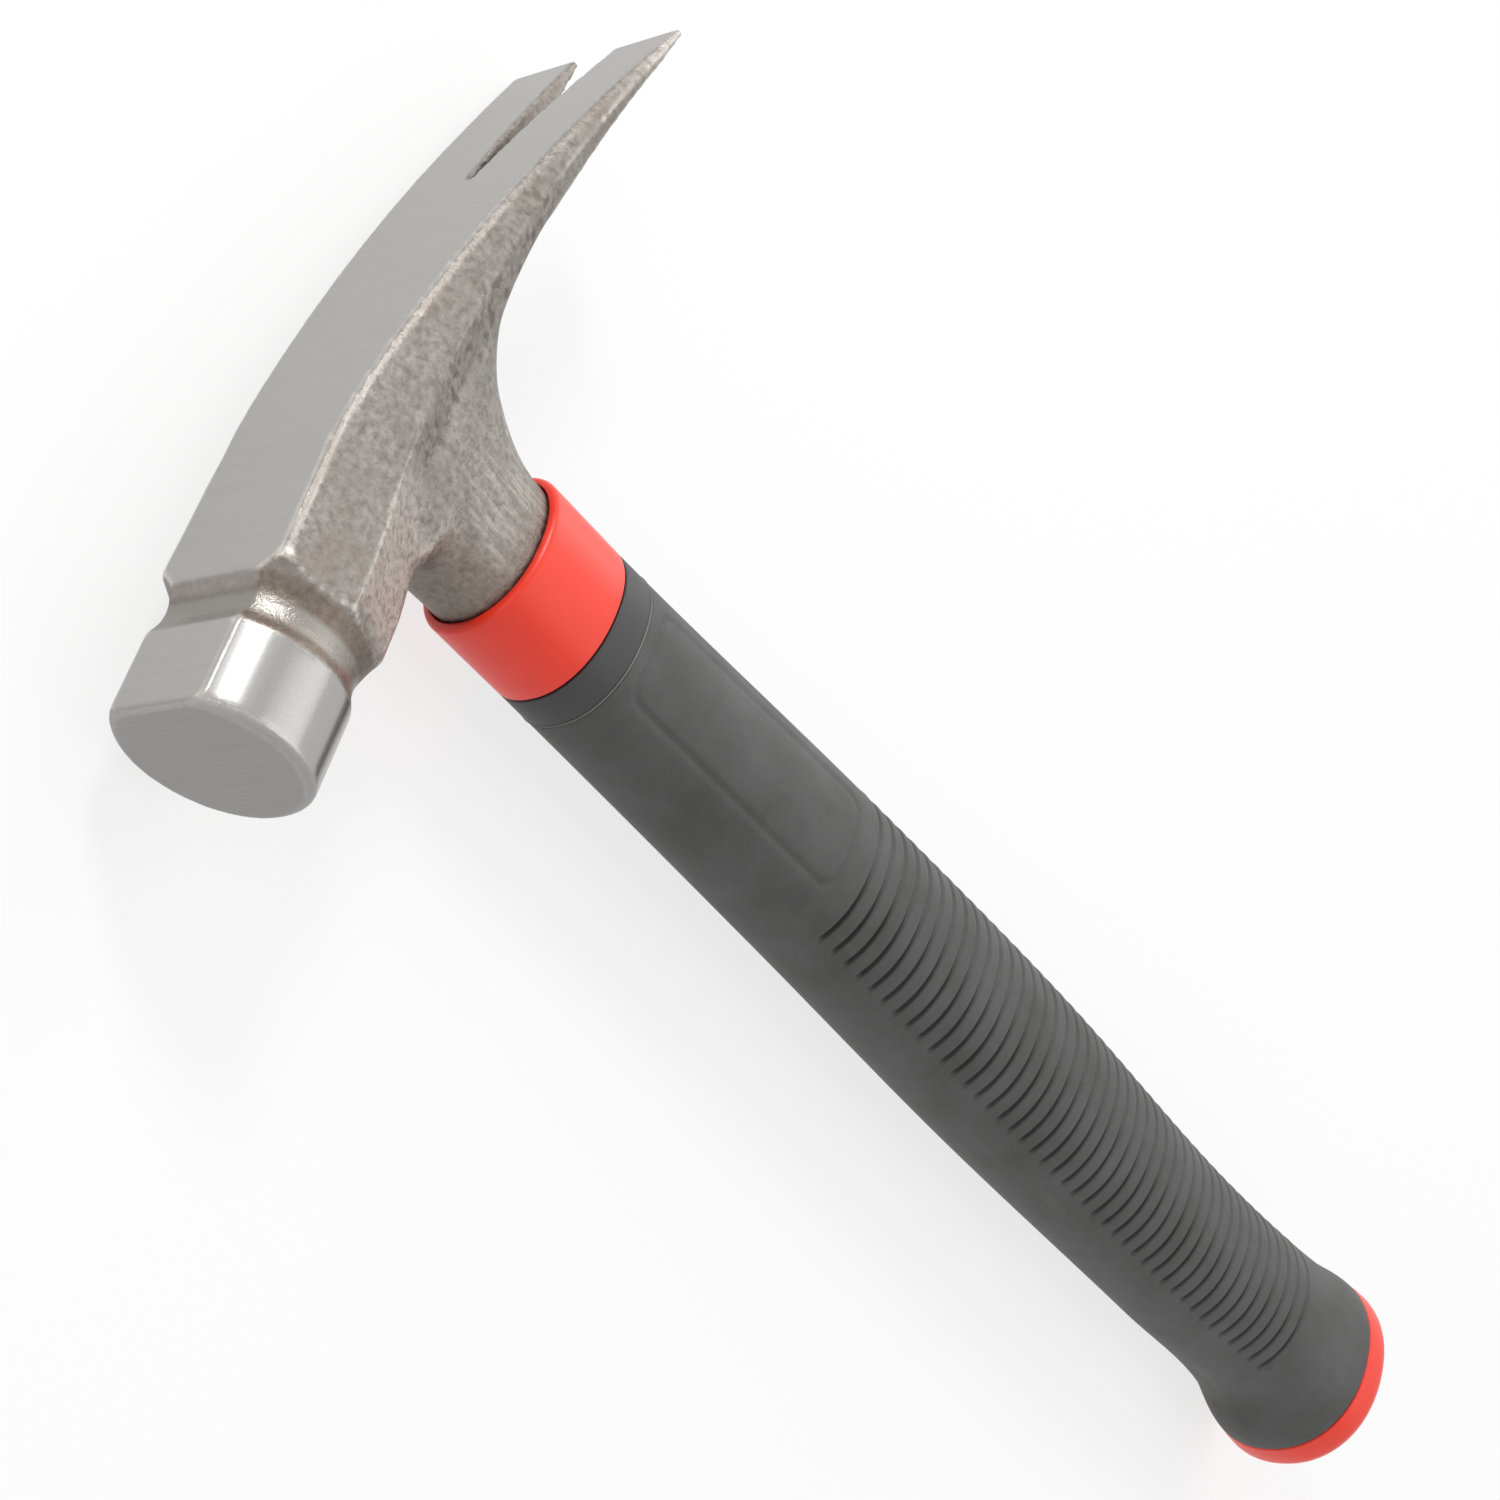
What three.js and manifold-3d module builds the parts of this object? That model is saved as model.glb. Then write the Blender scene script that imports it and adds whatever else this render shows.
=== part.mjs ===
// Rip-claw hammer: one-piece forged head, pinned steel shaft tube and moulded handle.
// Sizes are in millimetres. While it is built the hammer stands up: the handle runs along Z with the
// head on top, the striking face looks along +X, and the origin is where the axis of the striking face
// crosses the axis of the handle. The finished hammer lies on its side, +X from butt to head and +Z up.

import * as THREE from "three";
import { mergeVertices } from "three/addons/utils/BufferGeometryUtils.js";
import Module from "manifold-3d";

const wasm = await Module();
wasm.setup();

// Fit between pieces that nest or touch
const FIT = 0.3;

// Striking end: a round poll with one ground flat on top, and a turned groove behind it
const FACE_REACH = 56.1;
const POLL_RADIUS = 14.25;
const POLL_LENGTH = 13.6;
const FACE_CHAMFER = 1.1;
const TOP_FLAT_HEIGHT = 11.5;
const GROOVE_DEPTH = 1.1;
const GROOVE_MOUTH = 7.9;
const SADDLE_DEPTH = 1.2;
const ROOT_LAP = 1.0;

// Cheeks: widest along the forging's parting line, half way down
const BODY_FRONT_WIDTH = 24.6;
const WAIST_REACH = 12;
const WAIST_WIDTH = 23.0;
const BODY_UNDERSIDE_DROP = 11.9;
const UPPER_DRAFT = THREE.MathUtils.degToRad(14);
const LOWER_DRAFT = THREE.MathUtils.degToRad(25);
const RIDGE_CHAMFER = 1.0;

// Rip claw: the ground top bends down once, then sweeps to the tips in one long arc
const CLAW_REACH = 82;
const CLAW_TIP_WIDTH = 33.4;
const BEND_START = 15;
const BEND_LENGTH = 13;
const BEND_RADIUS = 100;
const CLAW_SWEEP_RADIUS = 362;
const CLAW_TIP_STOCK = 1.7;
const CLAW_TAPER = 0.12;
const CLAW_UNDER_RADIUS = 770;
const CHISEL_LENGTH = 7;
const CHISEL_EDGE = 1.2;
const SLOT_LENGTH = 37;
const SLOT_MOUTH = 7.4;
const SLOT_ROOT_RADIUS = 0.5;

// Neck: an oval stem that spreads into the head with a wide fillet behind and a tight one in front
const NECK_HALF_DEPTH = 12.4;
const NECK_HALF_WIDTH = 9.8;
const NECK_LAP = 8.6;
const NECK_TOP_HALF_WIDTH = 13.6;
const NECK_TOP_DROP = 1.5;
const NECK_TOP_POWER = 3.65;
const REAR_FILLET = 24;
const FRONT_FILLET = 9;

// Tang, shaft tube and the two cross pins
const SPIGOT_WALL = 1.0;
const TUBE_WALL = 1.6;
const TANG_LENGTH = 60;
const TANG_CHAMFER = 1.2;
const PIN_RADIUS = 2.0;
const PIN_INSET = 14;

// Handle lengths, from the axis of the striking face down to the butt
const COLLAR_TOP_DROP = 28.4;
const COLLAR_HEIGHT = 17.1;
const COLLAR_WALL = 1.3;
const COLLAR_RIM_RADIUS = 1.1;
const COLLAR_RIM_LAND = 0.2;
const BAND_HEIGHT = 6.0;
const COLLAR_TO_SHOULDER = 67.6;
const SHOULDER_TO_SWELL = 59.9;
const SWELL_TO_WAIST = 66;
const WAIST_TO_FLARE = 33.2;
const FLARE_LENGTH = 12.5;

// Handle sections as half depth, half width and lean towards the striking face
const SHOULDER_SECTION = [15.45, 12.95, -0.8];
const SWELL_SECTION = [16.45, 14.05, -0.6];
const WAIST_SECTION = [15.35, 13.75, 0];
const FLARE_SECTION = [15.9, 15.3, -1.0];
const BUTT_SECTION = [18.7, 16.8, -0.2];
const OVAL_POWER = 2.15;

// Grip grooves run round the rear and both sides and stop short of a smooth strip in front
const PLAIN_BUTT_LENGTH = 25;
const GRIP_GROOVE_PITCH = 3.64;
const GRIP_GROOVE_WIDTH = 1.4;
const GRIP_GROOVE_DEPTH = 0.7;
const SMOOTH_STRIP = THREE.MathUtils.degToRad(33);
const GROOVE_RUN_OUT = THREE.MathUtils.degToRad(6);

// End cap: a rounded lid whose stem plugs the handle under the tube
const CAP_HEIGHT = 8.1;
const CAP_BULGE = 0.35;
const CAP_EDGE_RADIUS = 3.9;
const STEM_LENGTH = 16;
const STEM_SOCKET_WALL = 1.6;

// Facets
const TURNED_SIDES = 56;
const SHAFT_SIDES = 32;
const OVAL_SIDES = 40;
const STRIP_FACETS = 4;
const GROOVED_FACETS = 20;
const FILLET_RINGS = 12;
const EDGE_RINGS = 4;
const STATION_STEP = 4;

// Places that follow from the sizes above
const POLL_BACK = FACE_REACH - POLL_LENGTH;
const GROOVE_CENTRE = POLL_BACK - GROOVE_MOUTH / 2;
const GROOVE_RADIUS = POLL_RADIUS - GROOVE_DEPTH;
const BODY_FRONT = POLL_BACK - GROOVE_MOUTH;
const COLLAR_BOTTOM = -COLLAR_TOP_DROP - COLLAR_HEIGHT;
const BAND_TOP = COLLAR_BOTTOM - FIT;
const BAND_BOTTOM = BAND_TOP - BAND_HEIGHT;
const GRIP_TOP = BAND_BOTTOM - FIT;
const SHOULDER_LEVEL = COLLAR_BOTTOM - COLLAR_TO_SHOULDER;
const SWELL_LEVEL = SHOULDER_LEVEL - SHOULDER_TO_SWELL;
const WAIST_LEVEL = SWELL_LEVEL - SWELL_TO_WAIST;
const FLARE_LEVEL = WAIST_LEVEL - WAIST_TO_FLARE;
const GRIP_BOTTOM = FLARE_LEVEL - FLARE_LENGTH;
const NECK_SHOULDER = -COLLAR_TOP_DROP - NECK_LAP;
const TUBE_RADIUS = NECK_HALF_WIDTH - SPIGOT_WALL - FIT;
const TUBE_BORE = TUBE_RADIUS - TUBE_WALL;
const TANG_RADIUS = TUBE_BORE - FIT;
const TUBE_TOP = NECK_SHOULDER - FIT;
const TANG_END = NECK_SHOULDER - TANG_LENGTH;
const CORE_BORE = TUBE_RADIUS + FIT;
const CAP_TOP = GRIP_BOTTOM - FIT;
const STEM_TOP = CAP_TOP + STEM_LENGTH;
const CORE_STEP = STEM_TOP + FIT;
const TUBE_BOTTOM = CORE_STEP + FIT;
const STEM_RADIUS = NECK_HALF_WIDTH - STEM_SOCKET_WALL - FIT;
const COLLAR_SECTION = [
  NECK_HALF_DEPTH + FIT + COLLAR_WALL,
  NECK_HALF_WIDTH + FIT + COLLAR_WALL,
  0,
];
const PIN_LEVELS = { upper: TUBE_TOP - PIN_INSET, lower: TANG_END + PIN_INSET };

// Solids and geometry

/** Index a geometry by position alone and drop triangles that collapsed onto the axis. */
function weld(geometry) {
  const bare = geometry.clone();
  bare.deleteAttribute("normal");
  bare.deleteAttribute("uv");
  const merged = mergeVertices(bare, 1e-4);
  const corners = merged.index.array;
  const kept = [];
  for (let i = 0; i < corners.length; i += 3) {
    const [a, b, c] = corners.slice(i, i + 3);
    if (a !== b && b !== c && c !== a) kept.push(a, b, c);
  }
  merged.setIndex(kept);
  return merged;
}

/** Closed geometry as a solid that can be joined and cut. */
function solid(geometry) {
  const welded = weld(geometry);
  const vertProperties = new Float32Array(welded.attributes.position.array);
  const triVerts = new Uint32Array(welded.index.array);
  return new wasm.Manifold(new wasm.Mesh({ numProp: 3, vertProperties, triVerts }));
}

/** Solid back as geometry. */
function geometryOf(body) {
  const mesh = body.getMesh();
  const geometry = new THREE.BufferGeometry();
  geometry.setAttribute("position", new THREE.BufferAttribute(new Float32Array(mesh.vertProperties), 3));
  geometry.setIndex(new THREE.BufferAttribute(new Uint32Array(mesh.triVerts), 1));
  geometry.computeVertexNormals();
  return geometry;
}

/**
 * Skin through rings of points that turn left about the direction in which the rings advance.
 * An open loft is closed by a fan at each end, a closed one runs back to its first ring.
 */
function loft(rings, closed = false) {
  const sides = rings[0].length;
  const points = rings.flat();
  const index = [];
  const spans = closed ? rings.length : rings.length - 1;
  for (let ring = 0; ring < spans; ring += 1) {
    const here = ring * sides;
    const there = ((ring + 1) % rings.length) * sides;
    for (let side = 0; side < sides; side += 1) {
      const next = (side + 1) % sides;
      index.push(here + side, here + next, there + next);
      index.push(here + side, there + next, there + side);
    }
  }
  if (!closed) {
    const top = (rings.length - 1) * sides;
    for (const [start, ring, turn] of [[0, rings[0], -1], [top, rings.at(-1), 1]]) {
      const middle = ring.reduce((sum, point) => sum.add(point), new THREE.Vector3()).divideScalar(sides);
      const hub = points.push(middle) - 1;
      for (let side = 0; side < sides; side += 1) {
        const next = (side + 1) % sides;
        const edge = turn > 0 ? [start + side, start + next] : [start + next, start + side];
        index.push(hub, ...edge);
      }
    }
  }
  const geometry = new THREE.BufferGeometry().setFromPoints(points);
  geometry.setIndex(index);
  geometry.computeVertexNormals();
  return geometry;
}

/** Turned solid about Z from [radius, height] pairs that rise from axis to axis. */
function turnedUpright(profile, sides) {
  const points = profile.map(([radius, height]) => new THREE.Vector2(radius, height));
  return new THREE.LatheGeometry(points, sides).rotateX(Math.PI / 2);
}

/** Turned solid about X from [radius, reach] pairs that run forward. */
function turnedForward(profile, sides) {
  const points = profile.map(([radius, reach]) => new THREE.Vector2(radius, reach));
  return new THREE.LatheGeometry(points, sides).rotateZ(-Math.PI / 2);
}

/** Evenly spaced numbers with both ends. */
function spread(from, to, steps) {
  return Array.from({ length: steps + 1 }, (_, i) => from + ((to - from) * i) / steps);
}

/** Angles round an oval ring, evenly spaced from the front. */
function evenAngles(sides) {
  return spread(0, 2 * Math.PI, sides).slice(0, -1);
}

/** Horizontal oval ring with its own half depth, half width and lean. */
function ovalRing(height, [depth, width, lean = 0], options = {}) {
  const { power = OVAL_POWER, angles = evenAngles(OVAL_SIDES) } = options;
  return angles.map((angle) => {
    const [c, s] = [Math.cos(angle), Math.sin(angle)];
    const x = lean + depth * Math.sign(c) * Math.abs(c) ** (2 / power);
    const y = width * Math.sign(s) * Math.abs(s) ** (2 / power);
    return new THREE.Vector3(x, y, height);
  });
}

/** Oval section larger, or smaller where the amount is negative, by the same amount all round. */
function grown([depth, width, lean = 0], amount) {
  return [depth + amount, width + amount, lean];
}

/** Named part mesh with its finish. */
function part(name, geometry, color, roughness, metalness) {
  const mesh = new THREE.Mesh(geometry, new THREE.MeshStandardMaterial({ color, roughness, metalness }));
  mesh.name = name;
  return mesh;
}

// Head

/** Height of the ground top at a reach along the head. */
function topHeight(reach) {
  const run = Math.max(0, BEND_START - reach);
  const bent = Math.min(run, BEND_LENGTH);
  const swept = run - bent;
  const bendDrop = bent ** 2 / (2 * BEND_RADIUS);
  const sweepDrop = (swept * BEND_LENGTH) / BEND_RADIUS + swept ** 2 / (2 * CLAW_SWEEP_RADIUS);
  return TOP_FLAT_HEIGHT - bendDrop - sweepDrop;
}

/** Thickness of the claw, which tapers to the chisel and then to its edge. */
function clawThickness(reach) {
  const fromTip = reach + CLAW_REACH;
  const arc = (distance) => distance ** 2 / (2 * CLAW_UNDER_RADIUS);
  const stock = (distance) => CLAW_TIP_STOCK + CLAW_TAPER * distance + arc(distance);
  if (fromTip >= CHISEL_LENGTH) return stock(fromTip);
  return THREE.MathUtils.mapLinear(fromTip, 0, CHISEL_LENGTH, CHISEL_EDGE, stock(CHISEL_LENGTH));
}

/** Height of the underside: the claw's own, then down inside the neck to the flat under the body. */
function underHeight(reach) {
  const clawEnd = -NECK_HALF_DEPTH - REAR_FILLET;
  if (reach <= clawEnd) return topHeight(reach) - clawThickness(reach);
  const clawUnder = topHeight(clawEnd) - clawThickness(clawEnd);
  const bodyStart = NECK_HALF_DEPTH + FRONT_FILLET;
  const share = Math.min(1, (reach - clawEnd) / (bodyStart - clawEnd));
  return THREE.MathUtils.lerp(clawUnder, -BODY_UNDERSIDE_DROP, share ** 2);
}

/** Half width of the ground top, narrowest at the waist. */
function topHalfWidth(reach) {
  const behind = [-CLAW_REACH, CLAW_TIP_WIDTH];
  const ahead = [BODY_FRONT, BODY_FRONT_WIDTH];
  const [end, width] = reach < WAIST_REACH ? behind : ahead;
  return THREE.MathUtils.mapLinear(reach, WAIST_REACH, end, WAIST_WIDTH, width) / 2;
}

/** Eight-sided section of body and claw: chamfered ridge, drafted cheek, parting line, lower bevel. */
function headSection(reach) {
  const top = topHeight(reach);
  const under = underHeight(reach);
  const half = (top - under) / 2;
  const chamfer = Math.min(RIDGE_CHAMFER, half / 2);
  const ridge = topHalfWidth(reach);
  const crease = ridge + half * Math.tan(UPPER_DRAFT);
  const bottom = crease - half * Math.tan(LOWER_DRAFT);
  const near = [[bottom, under], [crease, under + half], [ridge, top - chamfer], [ridge - chamfer, top]];
  const far = near.map(([y, z]) => [-y, z]).reverse();
  return [...near, ...far].map(([y, z]) => new THREE.Vector3(reach, y, z));
}

/** Body and claw as one loft from the tips to just past the middle of the groove. */
function bodyAndClaw() {
  const chiselBack = CHISEL_LENGTH - CLAW_REACH;
  const front = GROOVE_CENTRE + ROOT_LAP;
  const steps = Math.round((front - chiselBack) / STATION_STEP);
  const stations = [-CLAW_REACH, ...spread(chiselBack, front, steps)];
  return solid(loft(stations.map(headSection)));
}

/** Round poll with a chamfered face, ground flat on top. */
function poll() {
  const back = GROOVE_CENTRE - ROOT_LAP;
  const round = turnedForward(
    [
      [0, back],
      [POLL_RADIUS, back],
      [POLL_RADIUS, FACE_REACH - FACE_CHAMFER],
      [POLL_RADIUS - FACE_CHAMFER, FACE_REACH],
      [0, FACE_REACH],
    ],
    TURNED_SIDES,
  );
  const above = new THREE.BoxGeometry(2 * FACE_REACH, 3 * POLL_RADIUS, POLL_RADIUS);
  above.translate(FACE_REACH, 0, TOP_FLAT_HEIGHT + POLL_RADIUS / 2);
  return solid(round).subtract(solid(above));
}

/** Ring cutter for the turned groove: a round bottom with straight walls further out. */
function grooveRing() {
  const depth = POLL_RADIUS - GROOVE_RADIUS;
  const radius = ((GROOVE_MOUTH / 2) ** 2 + depth ** 2) / (2 * depth);
  const centre = GROOVE_RADIUS + radius;
  const outside = centre + POLL_RADIUS;
  const arc = spread(0, Math.PI, FILLET_RINGS).map((angle) => [
    centre - radius * Math.sin(angle),
    GROOVE_CENTRE + radius * Math.cos(angle),
  ]);
  const closed = [...arc, [outside, GROOVE_CENTRE - radius], [outside, GROOVE_CENTRE + radius], arc[0]];
  return solid(turnedForward(closed, TURNED_SIDES));
}

/** Round bar laid across the head: it cuts the shallow saddle where the groove meets the top flat. */
function grooveSaddle() {
  const radius = ((GROOVE_MOUTH / 2) ** 2 + SADDLE_DEPTH ** 2) / (2 * SADDLE_DEPTH);
  const bar = new THREE.CylinderGeometry(radius, radius, 3 * POLL_RADIUS, TURNED_SIDES);
  return solid(bar.translate(GROOVE_CENTRE, 0, TOP_FLAT_HEIGHT - SADDLE_DEPTH + radius));
}

/** Nail slot: a tapered cut between the claws with a small round root. */
function nailSlot() {
  const overrun = SLOT_LENGTH;
  const flank = Math.atan2(SLOT_MOUTH / 2, SLOT_LENGTH);
  const root = -CLAW_REACH + SLOT_LENGTH;
  const centre = root - SLOT_ROOT_RADIUS;
  const wide = SLOT_MOUTH / 2 + overrun * Math.tan(flank);
  const outline = new THREE.Shape();
  outline.moveTo(-CLAW_REACH - overrun, -wide);
  outline.lineTo(centre + SLOT_ROOT_RADIUS * Math.sin(flank), -SLOT_ROOT_RADIUS * Math.cos(flank));
  outline.absarc(centre, 0, SLOT_ROOT_RADIUS, flank - Math.PI / 2, Math.PI / 2 - flank, false);
  outline.lineTo(-CLAW_REACH - overrun, wide);
  const depth = 2 * CLAW_REACH;
  const cut = new THREE.ExtrudeGeometry(outline, { depth, bevelEnabled: false, curveSegments: EDGE_RINGS });
  return solid(cut.translate(0, 0, -depth / 2));
}

/** Neck ring at a height: fillets push it out fore and aft, and it squares up as it meets the head. */
function neckRing(height, rearCentre, frontCentre) {
  const spreadShare = THREE.MathUtils.clamp(
    (height + COLLAR_TOP_DROP) / (COLLAR_TOP_DROP - NECK_TOP_DROP), 0, 1,
  );
  const swell = (radius, centre) => {
    const rise = THREE.MathUtils.clamp(height - centre, 0, radius);
    return radius - Math.sqrt(radius ** 2 - rise ** 2);
  };
  const rear = NECK_HALF_DEPTH + swell(REAR_FILLET, rearCentre);
  const front = NECK_HALF_DEPTH + swell(FRONT_FILLET, frontCentre);
  const width = THREE.MathUtils.lerp(NECK_HALF_WIDTH, NECK_TOP_HALF_WIDTH, spreadShare ** 2);
  const power = THREE.MathUtils.lerp(OVAL_POWER, NECK_TOP_POWER, spreadShare ** 2);
  return ovalRing(height, [(front + rear) / 2, width, (front - rear) / 2], { power });
}

/** Neck from its shoulder inside the collar up into the head. */
function neck() {
  const clawUnder = underHeight(-NECK_HALF_DEPTH - REAR_FILLET);
  const rearCentre = clawUnder - REAR_FILLET;
  const frontCentre = -BODY_UNDERSIDE_DROP - FRONT_FILLET;
  const turns = spread(0, Math.PI / 2, FILLET_RINGS);
  const sweep = turns.map((angle) => rearCentre + REAR_FILLET * Math.sin(angle));
  const heights = [NECK_SHOULDER, ...sweep];
  return solid(loft(heights.map((height) => neckRing(height, rearCentre, frontCentre))));
}

/** Tang that enters the shaft tube. */
function tang() {
  const profile = [
    [0, TANG_END],
    [TANG_RADIUS - TANG_CHAMFER, TANG_END],
    [TANG_RADIUS, TANG_END + TANG_CHAMFER],
    [TANG_RADIUS, -COLLAR_TOP_DROP],
    [0, -COLLAR_TOP_DROP],
  ];
  return solid(turnedUpright(profile, SHAFT_SIDES));
}

/** Round bar across the handle at a pin's level. */
function crossBar(radius, length, level) {
  return new THREE.CylinderGeometry(radius, radius, length, SHAFT_SIDES / 2).translate(0, 0, level);
}

/** Holes for both cross pins. */
function pinHoles() {
  const [upper, lower] = Object.values(PIN_LEVELS).map((level) =>
    solid(crossBar(PIN_RADIUS + FIT, 4 * TUBE_RADIUS, level)),
  );
  return upper.add(lower);
}

/** The whole forging. */
function hammerHead() {
  const forged = bodyAndClaw().add(poll()).subtract(grooveRing()).subtract(grooveSaddle());
  const slotted = forged.subtract(nailSlot());
  return geometryOf(slotted.add(neck()).add(tang()).subtract(pinHoles()));
}

// Handle

/** Smooth handle section at a height, through the named sections. */
const handleShape = (() => {
  const sections = [
    [GRIP_BOTTOM, BUTT_SECTION],
    [FLARE_LEVEL, FLARE_SECTION],
    [WAIST_LEVEL, WAIST_SECTION],
    [SWELL_LEVEL, SWELL_SECTION],
    [SHOULDER_LEVEL, SHOULDER_SECTION],
    [BAND_TOP, COLLAR_SECTION],
  ];
  const heights = sections.map(([height]) => height);
  return new THREE.CubicInterpolant(heights, sections.flatMap(([, section]) => section), 3);
})();

function handleSection(height) {
  return Array.from(handleShape.evaluate(THREE.MathUtils.clamp(height, GRIP_BOTTOM, BAND_TOP)));
}

/** Shaft tube with its pin holes. */
function shaftTube() {
  const profile = [
    [TUBE_BORE, TUBE_BOTTOM],
    [TUBE_RADIUS, TUBE_BOTTOM],
    [TUBE_RADIUS, TUBE_TOP],
    [TUBE_BORE, TUBE_TOP],
    [TUBE_BORE, TUBE_BOTTOM],
  ];
  return geometryOf(solid(turnedUpright(profile, SHAFT_SIDES)).subtract(pinHoles()));
}

/** Hard core: spigot for the collar, a band that shows below it, and the stem under the grip. */
function handleCore() {
  const inner = [NECK_HALF_DEPTH, NECK_HALF_WIDTH];
  const rings = [
    ovalRing(GRIP_BOTTOM, inner),
    ovalRing(BAND_BOTTOM, inner),
    ovalRing(BAND_BOTTOM, handleSection(BAND_BOTTOM)),
    ovalRing(BAND_TOP, handleSection(BAND_TOP)),
    ovalRing(BAND_TOP, inner),
    ovalRing(TUBE_TOP, inner),
  ];
  const bore = turnedUpright(
    [
      [0, GRIP_BOTTOM - STEM_LENGTH],
      [STEM_RADIUS + FIT, GRIP_BOTTOM - STEM_LENGTH],
      [STEM_RADIUS + FIT, CORE_STEP],
      [CORE_BORE, CORE_STEP],
      [CORE_BORE, TUBE_TOP + STEM_LENGTH],
      [0, TUBE_TOP + STEM_LENGTH],
    ],
    SHAFT_SIDES,
  );
  return geometryOf(solid(loft(rings)).subtract(solid(bore)));
}

/** Collar: a sleeve with a rounded top rim. */
function collar() {
  const bore = grown([NECK_HALF_DEPTH, NECK_HALF_WIDTH], FIT);
  const radius = Math.min(COLLAR_RIM_RADIUS, COLLAR_WALL - COLLAR_RIM_LAND);
  const rim = spread(0, Math.PI / 2, EDGE_RINGS).map((angle) =>
    ovalRing(
      -COLLAR_TOP_DROP - radius * (1 - Math.sin(angle)),
      grown(COLLAR_SECTION, -radius * (1 - Math.cos(angle))),
    ),
  );
  const rings = [
    ovalRing(COLLAR_BOTTOM, COLLAR_SECTION),
    ...rim,
    ovalRing(-COLLAR_TOP_DROP, bore),
    ovalRing(COLLAR_BOTTOM, bore),
  ];
  return loft(rings, true);
}

/** Angles round the grip: a few across the smooth strip, a run-out at each side, the rest even. */
function gripAngles() {
  const grooveStart = SMOOTH_STRIP + GROOVE_RUN_OUT;
  const strip = spread(-SMOOTH_STRIP, SMOOTH_STRIP, STRIP_FACETS);
  const grooved = spread(grooveStart, 2 * Math.PI - grooveStart, GROOVED_FACETS);
  return [...strip, ...grooved];
}

/** Grip ring at a height, let in by a depth wherever the grooves run. */
function gripRing(height, depth, angles) {
  const skin = handleSection(height);
  const full = ovalRing(height, skin, { angles });
  const low = ovalRing(height, grown(skin, -depth), { angles });
  return full.map((point, i) => (angles[i] > SMOOTH_STRIP ? low[i] : point));
}

/** Rubber sleeve with its row of grooves. */
function grip() {
  const angles = gripAngles();
  const half = GRIP_GROOVE_WIDTH / 2;
  const firstLevel = SHOULDER_LEVEL;
  const run = firstLevel - GRIP_BOTTOM - PLAIN_BUTT_LENGTH;
  const pitches = Math.floor(run / GRIP_GROOVE_PITCH);
  const lastLevel = firstLevel - pitches * GRIP_GROOVE_PITCH;
  const rings = [];
  for (const height of spread(GRIP_BOTTOM, lastLevel - 2 * half, EDGE_RINGS)) {
    rings.push(gripRing(height, 0, angles));
  }
  for (const level of spread(lastLevel, firstLevel, pitches)) {
    rings.push(gripRing(level - half, 0, angles));
    rings.push(gripRing(level, GRIP_GROOVE_DEPTH, angles));
    rings.push(gripRing(level + half, 0, angles));
  }
  for (const height of spread(firstLevel + 2 * half, GRIP_TOP, EDGE_RINGS)) {
    rings.push(gripRing(height, 0, angles));
  }
  const bore = grown([NECK_HALF_DEPTH, NECK_HALF_WIDTH], FIT);
  rings.push(ovalRing(GRIP_TOP, bore, { angles }), ovalRing(GRIP_BOTTOM, bore, { angles }));
  return loft(rings, true);
}

/** End cap: rounded lid with its stem. */
function endCap() {
  const rim = grown(BUTT_SECTION, CAP_BULGE);
  const bottom = CAP_TOP - CAP_HEIGHT;
  const edge = spread(0, Math.PI / 2, EDGE_RINGS).map((angle) =>
    ovalRing(
      bottom + CAP_EDGE_RADIUS * (1 - Math.sin(angle)),
      grown(rim, -CAP_EDGE_RADIUS * (1 - Math.cos(angle))),
    ),
  );
  const rings = [...edge.reverse(), ovalRing(CAP_TOP, BUTT_SECTION)];
  const stem = turnedUpright(
    [
      [0, CAP_TOP - CAP_HEIGHT / 2],
      [STEM_RADIUS, CAP_TOP - CAP_HEIGHT / 2],
      [STEM_RADIUS, STEM_TOP],
      [0, STEM_TOP],
    ],
    SHAFT_SIDES,
  );
  return geometryOf(solid(loft(rings)).add(solid(stem)));
}

// Assembly

const standing = new THREE.Group();
standing.add(part("hammer_head", hammerHead(), 0x9a9691, 0.45, 0.9));
standing.add(part("shaft_tube", shaftTube(), 0x8c8f92, 0.4, 0.9));
for (const [name, level] of Object.entries(PIN_LEVELS)) {
  const pin = crossBar(PIN_RADIUS, 2 * TUBE_RADIUS, level);
  standing.add(part(`${name}_tang_pin`, pin, 0x7d8083, 0.35, 0.9));
}
standing.add(part("handle_core", handleCore(), 0x3c3d3e, 0.5, 0));
standing.add(part("collar", collar(), 0xf04a38, 0.4, 0));
standing.add(part("grip", grip(), 0x4a4a4a, 0.65, 0));
standing.add(part("end_cap", endCap(), 0xf04a38, 0.4, 0));

// Lay the hammer on its side and stand that on the ground, centred
standing.matrixAutoUpdate = false;
standing.matrix.makeBasis(
  new THREE.Vector3(0, 1, 0),
  new THREE.Vector3(0, 0, 1),
  new THREE.Vector3(1, 0, 0),
);
const hammer = new THREE.Group();
hammer.add(standing);
hammer.updateMatrixWorld(true);
const box = new THREE.Box3().setFromObject(hammer, true);
const middle = box.getCenter(new THREE.Vector3());
hammer.position.set(-middle.x, -middle.y, -box.min.z);
hammer.updateMatrixWorld(true);

export default hammer;
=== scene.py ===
import logging
import math
from dataclasses import dataclass
from enum import Enum
from typing import Any, Callable, Dict, List, Optional, Sequence, Tuple

import bmesh
import bpy
import numpy as np
from mathutils import Matrix, Vector


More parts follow.
